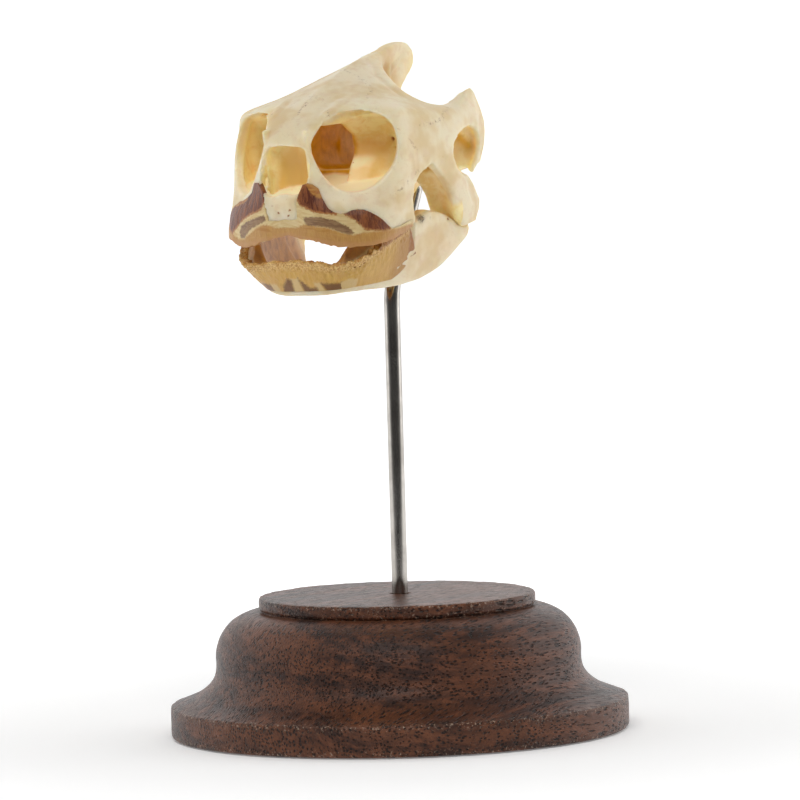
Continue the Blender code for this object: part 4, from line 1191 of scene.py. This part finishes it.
def node_adder(tree):
    """The function that adds a node to this tree and hands back one of its outputs.

    Words in small letters set the node's properties, words with a capital fill the input of that
    name, and bare values fill its inputs in order. A value is a number, a hex colour or a socket.
    """
    def add(kind, *values, out=None, **words):
        made = tree.nodes.new("ShaderNode" + kind)
        for word in filter(str.islower, words):
            setattr(made, word, words[word])
        filled = list(zip([socket for socket in made.inputs if socket.enabled], values))
        filled += [(made.inputs[word], words[word]) for word in words if word[0].isupper()]
        for socket, value in filled:
            if isinstance(value, bpy.types.NodeSocket):
                tree.links.new(value, socket)
            else:
                socket.default_value = colour(value) if isinstance(value, str) else value
        return made.outputs[out] if out else next(s for s in made.outputs if s.enabled)
    return add


print("black is", colour("#000000")[:3], "and white", colour("#ffffff")[:3])

# %% Materials and layers of paint
def material(name, **values):
    """A Principled material, its uniform values set straight on the shader."""
    made = bpy.data.materials.new(name)
    made.use_nodes = True
    shader = made.node_tree.nodes["Principled BSDF"]
    for key, value in values.items():
        shader.inputs[key.replace("_", " ")].default_value = value
    return made, node_adder(made.node_tree), shader


def wire(shader, **sockets):
    for name, socket in sockets.items():
        shader.id_data.links.new(socket, shader.inputs[name.replace("_", " ")])


def layered(add, under, paint, mask, low, high, start=0.0, end=1.0):
    """Paint over a colour. Its share goes from start, where the mask is low, to end where high."""
    share = add("MapRange", mask, low, high, start, end, interpolation_type="SMOOTHSTEP")
    return add("Mix", share, under, paint, data_type="RGBA")


def values_kept(add, *names):
    """The numbers that the mesh keeps for each point, by name."""
    return {name: add("Attribute", attribute_name=name, out="Fac") for name in names}


def noises(add, place, *patterns):
    """Noise of several kinds, each as (size in millimetres, detail, roughness, distortion)."""
    return [add("TexNoise", Vector=place, Scale=per_mm(size), Detail=detail, Roughness=rough,
                Distortion=twist) for size, detail, rough, twist in patterns]


print("a pattern of 0.4 mm has the scale", per_mm(0.4))

# %% [markdown]
# ## Bone
# Dry, cleaned bone is a pale cream with a low sheen, and a little light goes into it. Its colour
# follows its form. Thin outer rims are nearly white. Faces inside the skull are painted from ochre
# to a deep orange brown, more so the deeper they lie: painted warm shade and bounce light. The
# upward floor of each orbit is painted pale, as painted light. The outside has soft tan and
# pinkish patches some millimetres wide, brown dots, and fine sutures. The mesh keeps how deep each
# point lies below the outer skin, so the shader knows inside from outside. The walls are thin, and
# light comes through them. Subsurface scattering alone stays too dark inside at this size, so the
# inner faces also glow faintly in their own colour, which is painted light.

# %% Bone material
DOT_SPACING = 2.381
INNER_GLOW = 0.045
CORE_GLOW = 0.1


def bone_material(name, inner_shade_and_glow, deep_light, deep_dark):
    bone, add, shader = material(name, IOR=1.54, Subsurface_Weight=0.75, Subsurface_Scale=0.0026,
                                 Subsurface_Radius=(1.0, 0.8, 0.55))
    place = add("TexCoord", out="Object")
    kept = values_kept(add, "depth", "shade_and_glow", "floor", "seam", "hole", "grime")
    # Patches 8 mm wide, blotches of 2 mm, spots of 0.4 mm, and the pores' two sizes.
    broad, patchy, fine, grain, pores = noises(
        add, place, (7.692, 3, 0.6, 0), (1.818, 4, 0.6, 0.4), (0.4167, 5, 0.65, 0),
        (0.1111, 3, 0.6, 0), (0.1818, 4, 0.7, 0))
    surface = layered(add, "#f0e2c2", "#e2cb9a", broad, 0.42, 0.62)
    surface = layered(add, surface, "#e3caa8", patchy, 0.5, 0.72, end=0.55)
    surface = layered(add, surface, "#d7bd92", fine, 0.56, 0.74, end=0.4)
    surface = layered(add, surface, "#c9a878", grain, 0.62, 0.8, end=0.25)

    wobble = add("Math", fine, 0.8, -0.4, operation="MULTIPLY_ADD")
    uneven = add("Math", kept["depth"], wobble, operation="ADD")
    # Painted warm shade and bounce light inside, ochre to deep orange, with the orbit floor painted
    # pale as lit.
    inner = layered(add, "#f5e3aa", "#ecd08a", patchy, 0.4, 0.66)
    inner = layered(add, inner, "#edc878", uneven, 5.0, 9.0)
    deep = layered(add, deep_light, deep_dark, patchy, 0.35, 0.7)
    inner = add("Mix", kept["shade_and_glow"], inner, deep, data_type="RGBA")
    inner = add("Mix", kept["floor"], inner, "#fcecc4", data_type="RGBA")
    surface = layered(add, surface, inner, uneven, 0.7, 1.7, end=inner_shade_and_glow)

    broken = add("MapRange", fine, 0.5, 0.62, 0.0, 0.8, interpolation_type="SMOOTHSTEP")
    seam = add("Math", kept["seam"], broken, operation="MULTIPLY")
    surface = add("Mix", seam, surface, "#8f6636", data_type="RGBA")
    # Painted shade in the pits: a darker orange.
    surface = layered(add, surface, "#a8651c", kept["hole"], 0.45, 0.9)
    dots = add("TexVoronoi", Vector=place, Scale=per_mm(DOT_SPACING))
    dot = add("MapRange", dots, 0.03, 0.085, 1.0, 0.0, interpolation_type="SMOOTHSTEP")
    cell = add("SeparateColor", dots.node.outputs["Color"])
    chosen = add("MapRange", cell, 0.86, 0.9, interpolation_type="SMOOTHSTEP")
    dot = add("Math", dot, chosen, operation="MULTIPLY")
    surface = add("Mix", dot, surface, "#9c6a34", data_type="RGBA")
    crumbs = add("MapRange", grain, 0.35, 0.62, interpolation_type="SMOOTHSTEP")
    crust = add("Math", kept["grime"], crumbs, operation="MULTIPLY")
    surface = layered(add, surface, "#3a2a1c", crust, 0.22, 0.5)

    # Painted light: inner faces, the orbit floor and the deep parts glow faintly in their own
    # colour.
    inside = add("MapRange", kept["depth"], 0.7, 1.7, 0.0, INNER_GLOW * inner_shade_and_glow,
                 interpolation_type="SMOOTHSTEP")
    through = add("Math", kept["shade_and_glow"], inner_shade_and_glow - 0.2, operation="MULTIPLY")
    through = add("Math", kept["floor"], through, operation="MAXIMUM")
    glow = add("Math", through, CORE_GLOW, inside, operation="MULTIPLY_ADD")
    gloss = add("MapRange", patchy, 0.3, 0.7, 0.38, 0.52)
    bump = add("Bump", Height=pores, Strength=0.35, Distance=0.00012)
    bump = add("Bump", Height=crust, Strength=0.8, Distance=0.0003, Normal=bump)
    wire(shader, Base_Color=surface, Emission_Color=surface, Emission_Strength=glow,
         Roughness=gloss, Normal=bump)
    return bone


# The last two colours are the painted shade deep inside the skull and the jaw.
cranium_bone = bone_material("dry cleaned bone, skull", 1.0, "#d9a000", "#c48c00")
jaw_bone = bone_material("dry cleaned bone, jaw", 0.9, "#a86c04", "#824a00")
print("bone materials:", cranium_bone.name, "and", jaw_bone.name)

# %% [markdown]
# ## Horn of the upper sheath
# The beak's horn is keratin, the stuff of a fingernail: warm, slightly translucent, with a soft
# shine. It grew in layers. The lowest layer is tan and fibrous, above it lies a cream one, and
# grey-brown bands and dark patches with rusty borders lie on that. The bands' edges are broken up
# by a little noise, because horn flakes where layers end.

# %% What both sheaths' horn shares
HORN = {"IOR": 1.55, "Subsurface_Weight": 0.15, "Subsurface_Scale": 0.0009,
        "Subsurface_Radius": (1.0, 0.45, 0.2)}


def jaw_pattern(add, kept, height, stretch_round, stretch_up, size, *look):
    """Noise laid out by distance round the jaw and by height, each stretched by its own factor."""
    across = add("Math", kept["round_jaw"], stretch_round, operation="MULTIPLY")
    up = add("Math", kept[height], stretch_up, operation="MULTIPLY")
    return noises(add, add("CombineXYZ", across, up, 0.0), (size, *look))[0]


def horn_bands(add, surface, kept, wobble, bands):
    """Bands as (name, paint, softness of the edge, share, how ragged, how much wider)."""
    for name, paint, soft, share, ragged, wider in bands:
        away = add("Math", wobble, ragged, kept[name], operation="MULTIPLY_ADD")
        surface = layered(add, surface, paint, away, wider - soft, wider + soft, share, 0.0)
    return surface


def horn_relief(add, shader, surface, first, second, gloss):
    bump = add("Bump", Height=add("Math", first, second, operation="ADD"), Strength=0.45,
               Distance=0.00016)
    wire(shader, Base_Color=surface, Roughness=gloss, Normal=bump)


print("both horns share", HORN)

# %% Upper horn material
def upper_horn_material():
    horn, add, shader = material("beak horn, upper sheath", **HORN)
    place = add("TexCoord", out="Object")
    kept = values_kept(add, "round_jaw", "height", "above", *LEFT_BANDS)
    # Fibres 0.4 mm wide that run up and down, and layers of 0.6 mm that run round the jaw.
    fibre = jaw_pattern(add, kept, "height", 1.0, 0.16, 0.4167, 6, 0.75, 1.2)
    layer = jaw_pattern(add, kept, "height", 0.22, 1.0, 0.5882, 4, 0.65, 0.6)
    fine = noises(add, place, (0.3125, 5, 0.65, 0))[0]
    wobble = add("Math", fine, 0.75, -0.375, operation="MULTIPLY_ADD")
    height = add("Math", kept["height"], wobble, operation="ADD")
    tan = layered(add, "#c4964e", "#b68242", fibre, 0.36, 0.66)
    tan = layered(add, tan, "#c69a5c", layer, 0.5, 0.72, end=0.6)
    tan = layered(add, tan, "#c08e5a", height, 0.1, 0.7, 0.7, 0.0)
    cream = layered(add, "#dfc993", "#cfb076", layer, 0.35, 0.65)
    above_grey = add("Math", kept["above"], wobble, operation="SUBTRACT")
    surface = layered(add, tan, cream, above_grey, -0.15, 0.25)
    grey = layered(add, "#97734e", "#785437", layer, 0.4, 0.62)
    dark = layered(add, "#521c06", "#96562a", fibre, 0.38, 0.64)
    rust = layered(add, "#a65f22", "#c08a3e", layer, 0.4, 0.6)
    surface = horn_bands(add, surface, kept, wobble, [
        ("grey", grey, 0.14, 0.95, 1.0, 0.0), ("thread", "#b27a34", 0.1, 0.85, 0.3, 0.0),
        ("dark", "#a9652a", 0.12, 0.9, 1.0, 0.28), ("dark", dark, 0.14, 1.0, 1.0, 0.0),
        ("lens", "#a86c35", 0.12, 0.9, 1.0, 0.24), ("lens", dark, 0.14, 0.97, 1.0, 0.0),
        ("rust", rust, 0.12, 0.9, 1.0, 0.0)])
    gloss = add("MapRange", fibre, 0.3, 0.7, 0.3, 0.46)
    low_layer = add("Math", layer, 0.7, operation="MULTIPLY")
    horn_relief(add, shader, surface, fibre, low_layer, gloss)
    return horn


upper_horn = upper_horn_material()
print("horn material:", upper_horn.name)

# %% [markdown]
# ## Horn of the lower sheath
# The lower sheath is golden tan, darker and redder towards its hind rim, with streaks that run
# down and back. Near the chin dark brown and cream patches lie side by side. Its rim is rough
# with small grains, and its mouth side is painted a deep orange brown as warm shade.

# %% Lower horn material
def lower_horn_material():
    horn, add, shader = material("beak horn, lower sheath", **HORN)
    place = add("TexCoord", out="Object")
    kept = values_kept(add, "round_jaw", "below_top", "rim", "mouth", "grime", *LOWER_PATCHES)
    # Streaks 0.7 mm wide, clouds of 2 mm and grains of 0.3 mm.
    streak = jaw_pattern(add, kept, "below_top", 1.0, 0.2, 0.6667, 6, 0.72, 1.4)
    cloud, fine = noises(add, place, (2.222, 4, 0.6, 0.3), (0.2941, 5, 0.7, 0))
    wobble = add("Math", fine, 0.9, -0.45, operation="MULTIPLY_ADD")
    gold = layered(add, "#d9ae58", "#c79744", streak, 0.35, 0.68)
    gold = layered(add, gold, "#d3a45a", cloud, 0.45, 0.65, end=0.7)
    way_round = add("Math", kept["round_jaw"], operation="ABSOLUTE")
    way_round = add("Math", way_round, wobble, operation="ADD")
    surface = layered(add, gold, "#b07c3c", way_round, 17.5, 21.5, end=0.7)
    beads = layered(add, "#b47c34", "#ecca86", fine, 0.4, 0.6)
    surface = layered(add, surface, beads, kept["below_top"], 0.2, 1.5, 0.8, 0.0)
    surface = horn_bands(add, surface, kept, wobble, [
        ("pale", "#d9bd85", 0.22, 0.85, 1.0, 0.0), ("patch", "#6b4026", 0.3, 0.85, 1.0, 0.0)])
    rim = add("Math", kept["rim"], wobble, operation="ADD")
    surface = layered(add, surface, "#9c5d22", rim, 0.1, 0.7, 0.8, 0.0)
    # The mouth side: painted warm shade in a deep orange brown.
    inner = layered(add, "#a8690f", "#87480a", fine, 0.35, 0.65)
    surface = add("Mix", kept["mouth"], surface, inner, data_type="RGBA")
    crumbs = add("MapRange", fine, 0.35, 0.6, interpolation_type="SMOOTHSTEP")
    crust = add("Math", kept["grime"], crumbs, operation="MULTIPLY")
    surface = layered(add, surface, "#35251a", crust, 0.22, 0.5)
    gloss = add("MapRange", streak, 0.3, 0.7, 0.34, 0.5)
    horn_relief(add, shader, surface, streak, fine, gloss)
    return horn


lower_horn = lower_horn_material()
print("horn material:", lower_horn.name)

# %% [markdown]
# ## Steel
# The rod is bright mild steel, drawn and then rubbed lengthwise with fine abrasive paper. The
# scratches run along it, so its highlights spread round it, and each side mirrors the light
# panels while its middle mirrors the darker room. Real scratches of some 0.03 mm would be finer
# than a pixel, so they are drawn 0.13 mm wide and 8 mm long.

# %% Steel material
SCRATCH_SIZE = (0.1333, 0.1333, 8)


def steel_material():
    steel, add, shader = material("drawn steel, rubbed lengthwise", Metallic=1.0, Anisotropic=0.35)
    place = add("TexCoord", out="Object")
    scratched = add("Mapping", Vector=place, Scale=per_mm(*SCRATCH_SIZE))
    lines = noises(add, scratched, (1, 4, 0.7, 0))[0]
    cloud = noises(add, place, (5, 3, 0.6, 0))[0]
    surface = layered(add, "#b5b1ab", "#9b9690", cloud, 0.3, 0.7)
    gloss = add("MapRange", lines, 0.3, 0.7, 0.1, 0.22)
    bump = add("Bump", Height=lines, Strength=0.15, Distance=0.00005)
    wire(shader, Base_Color=surface, Roughness=gloss, Normal=bump)
    return steel


steel = steel_material()
print("metal:", steel.name)

# %% [markdown]
# ## Walnut
# The base is dark walnut, turned, sanded and finished with oil and wax. The grain runs level
# through the block, so the turned faces cut it along, across and at every angle between, and a
# solid texture does the same. Walnut's open pores are vessels some 0.2 mm wide and many
# millimetres long. They are drawn about twice as coarse here, because the real ones would be
# finer than a pixel. Worn edges are paler where the finish has rubbed off.

# %% Walnut material
GRAIN_TURN = math.radians(-85)
RING_TILT = math.radians(-8)
# Sizes in millimetres: along the grain, across it, and through the growth rings.
WAVE_SIZE = (50, 20, 20)
RING_SIZE = (100, 20, 3.846)
STREAK_SIZE = (33.33, 2, 1.111)
FIBRE_SIZE = (4, 0.3125, 0.3125)
PORE_SIZE = (2.5, 0.4167, 0.4167)
RUB_SIZE = 0.3846


def walnut_material():
    walnut, add, shader = material("walnut, turned, oiled and waxed", IOR=1.47,
                                   Specular_IOR_Level=0.36)
    place = add("TexCoord", out="Object")
    turned = add("Mapping", Vector=place, Rotation=(0.0, 0.0, GRAIN_TURN))
    turned = add("Mapping", Vector=turned, Rotation=(RING_TILT, 0.0, 0.0))
    wavy = add("TexNoise", Vector=add("Mapping", Vector=turned, Scale=per_mm(*WAVE_SIZE)),
               Scale=1.0, Detail=2.0, out="Color")
    bent = add("VectorMath", wavy, (0.0, 7.0, 7.0), turned, operation="MULTIPLY_ADD")
    rings, streaks, fibres = [
        noises(add, add("Mapping", Vector=bent, Scale=per_mm(*size)), (1, detail, rough, 0))[0]
        for size, detail, rough in ((RING_SIZE, 3, 0.55), (STREAK_SIZE, 4, 0.65),
                                    (FIBRE_SIZE, 3, 0.65))]
    pores = add("TexVoronoi", Vector=add("Mapping", Vector=bent, Scale=per_mm(*PORE_SIZE)),
                Scale=1.0)
    cell = add("SeparateColor", pores.node.outputs["Color"])
    reach = add("MapRange", cell, 0.0, 1.0, 0.2, 0.5)
    away = add("Math", pores, reach, operation="DIVIDE")
    pore = add("MapRange", away, 0.55, 1.1, 1.0, 0.0, interpolation_type="SMOOTHSTEP")
    wood = layered(add, "#643b25", "#321a10", rings, 0.38, 0.62)
    wood = layered(add, wood, "#7c4a30", streaks, 0.42, 0.68, end=0.6)
    wood = layered(add, wood, "#2a1812", fibres, 0.46, 0.7, end=0.55)
    wood = add("Mix", add("Math", pore, 0.8, operation="MULTIPLY"), wood, "#0f0704",
               data_type="RGBA")
    rub = noises(add, place, (RUB_SIZE, 4, 0.7, 0))[0]
    rubbed = add("MapRange", rub, 0.56, 0.64, 0.0, 0.8, interpolation_type="SMOOTHSTEP")
    worn = add("Math", values_kept(add, "worn")["worn"], rubbed, operation="MULTIPLY")
    wood = add("Mix", worn, wood, "#b39c88", data_type="RGBA")
    gloss = add("MapRange", fibres, 0.3, 0.7, 0.3, 0.46)
    relief = add("Math", add("Math", fibres, 0.5, operation="MULTIPLY"), pore,
                 operation="SUBTRACT")
    bump = add("Bump", Height=relief, Strength=0.95, Distance=0.00025)
    wire(shader, Base_Color=wood, Roughness=gloss, Normal=bump)
    return walnut


walnut = walnut_material()
print("wood:", walnut.name)

# %% [markdown]
# ## Pieces in place
# Each mesh becomes an object, and the solid of the model that it stands for is hidden. Skull pieces
# take the skull's frame, which tips the skull 10.6 degrees, and the stand's pieces stand upright.
# All keep millimetres as their own units, so every texture scale above is in real millimetres.

# %% Objects, finishes and the solids they stand for
PIECES = [("walnut_base", base, UPRIGHT_FRAME, walnut, "base", "wood"),
          ("steel_rod", rod, UPRIGHT_FRAME, steel, "rod", "steel"),
          ("skull_bone", cranium_mesh, SKULL_FRAME, cranium_bone, "cranium", "bone"),
          ("jaw_bone", mandible_mesh, SKULL_FRAME, jaw_bone, "mandible", "bone"),
          ("upper_horn", upper_sheath, SKULL_FRAME, upper_horn, "upper_beak_sheath", "horn"),
          ("lower_horn", lower_sheath, SKULL_FRAME, lower_horn, "lower_beak_sheath", "horn")]

total = 0
for name, mesh, place, finish, solid, slot in PIECES:
    mesh.materials.clear()
    mesh.materials.append(finish)
    mesh.polygons.foreach_set("use_smooth", [True] * len(mesh.polygons))
    piece = add_piece(mesh, name, place)
    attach(piece, "root")
    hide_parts(solid)
    total += triangles(mesh)
print("six pieces,", total, "triangles")

# %% [markdown]
# ## Studio
# The photograph has a white ground and soft light from both sides. Two tall panels light the
# flanks from slightly behind, the right one more strongly, and a smaller one in front and above
# opens the front. A white sweep under and behind the stand takes a soft contact shadow, and its
# glow dims round the stand, a painted ring of shade. The picture is shown as it is lit, with no
# film curve.

# %% Floor and backdrop
def studio_sweep():
    """A floor that rises in a quarter circle behind the stand, in metres."""
    floor_end, bend = 1.2, 0.5
    profile = [(-0.2, 0.0), (floor_end, 0.0)]
    profile += [(floor_end + bend * math.sin(a), bend - bend * math.cos(a))
                for a in np.linspace(0.1, 1.57, 12)]
    profile += [(floor_end + bend, 3.0)]
    bm = bmesh.new()
    rows = [[bm.verts.new((x, y, z)) for x in (-3.5, 3.5)] for y, z in profile]
    for low, high in zip(rows, rows[1:]):
        bm.faces.new((low[0], low[1], high[1], high[0]))
    mesh = finish_mesh(bm, "sweep")
    mesh.polygons.foreach_set("use_smooth", [True] * len(mesh.polygons))
    return mesh


# The paper glows a little, and less within a hand's breadth of the stand, in metres from it: a
# painted ring of shade round the stand.
paper, add, paper_shader = material("white background paper", Roughness=0.9,
                                    Base_Color=colour("#fafafa"),
                                    Emission_Color=colour("#ffffff"))
far_off = add("VectorMath", add("TexCoord", out="Object"), operation="LENGTH")
wire(paper_shader, Emission_Strength=add("MapRange", far_off, 0.06, 0.24, 0.17, 0.6))
CAMERA_TURN = math.radians(30)
sweep_mesh = studio_sweep()
sweep_mesh.materials.append(paper)
sweep = add_piece(sweep_mesh, "sweep", Matrix.Rotation(CAMERA_TURN, 4, "Z")
                  @ Matrix.Translation((0, 0, -0.0002)))
print("sweep with", len(sweep_mesh.polygons), "faces")

# %% Lights
scene = bpy.context.scene


def panel(name, place, aim, width, height, power):
    light = bpy.data.lights.new(name, "AREA")
    light.shape = "RECTANGLE"
    light.size, light.size_y = width, height
    light.energy = power
    holder = bpy.data.objects.new(name, light)
    scene.collection.objects.link(holder)
    holder.location = place
    holder.rotation_euler = (Vector(aim) - Vector(place)).to_track_quat("-Z", "Y").to_euler()


def beside(right, toward, up):
    """A place given as the camera sees it: to the right, toward the camera, and up, in metres."""
    return (right * math.cos(CAMERA_TURN) + toward * math.sin(CAMERA_TURN),
            right * math.sin(CAMERA_TURN) - toward * math.cos(CAMERA_TURN), up)


MIDDLE = (0, 0, 0.06)
panel("left panel", beside(-0.8, -0.2, 0.3), MIDDLE, 0.5, 0.9, 1.35)
panel("right panel", beside(0.8, -0.15, 0.3), MIDDLE, 0.5, 0.9, 2.1)
panel("top panel", beside(-0.1, 0.75, 0.75), MIDDLE, 0.6, 0.4, 4.3)
print("lights:", ", ".join(light.name for light in bpy.data.lights))

# %% The room round them
def studio_room():
    """White where the camera looks, and for the light a grey room with its dark side behind it."""
    world = bpy.data.worlds.new("studio")
    world.use_nodes = True
    add = node_adder(world.node_tree)
    behind = add("VectorMath", add("TexCoord", out="Generated"), beside(0, 1, 0),
                 operation="DOT_PRODUCT")
    lit = add("MapRange", behind, 0.2, 0.7, 0.38, 0.08)
    seen = add("LightPath", out="Is Camera Ray")
    sky = world.node_tree.nodes["Background"]
    sky.inputs["Color"].default_value = colour("#ffffff")
    wire(sky, Strength=add("Math", lit, seen, operation="MAXIMUM"))
    return world


scene.world = studio_room()
scene.view_settings.view_transform = "Standard"
print("the room is", scene.world.name)

# %% [markdown]
# ## Camera
# The photograph was taken from 30 degrees to the side of the snout and a little above the skull's
# foot, with a long lens. The distance came from how the base's rims foreshorten.

# %% Camera at the photograph's place
DISTANCE = 0.817
HEIGHT = 0.098
AIM_HEIGHT = 0.0516
AIM_RIGHT = 0.00135
camera = bpy.data.objects.new("camera", bpy.data.cameras.new("camera"))
scene.collection.objects.link(camera)
camera.data.lens = 236.25
camera.data.sensor_width = 36
camera_place = Vector(beside(0, DISTANCE, HEIGHT))
camera_aim = Vector(beside(AIM_RIGHT, 0, AIM_HEIGHT))
camera.matrix_world = (Matrix.Translation(camera_place)
                       @ (camera_aim - camera_place).to_track_quat("-Z", "Y").to_matrix().to_4x4()
                       @ Matrix.Rotation(math.radians(-1.6), 4, "Z"))
scene.camera = camera
print("lens", camera.data.lens, "mm at", round(camera_place.length, 3), "m")
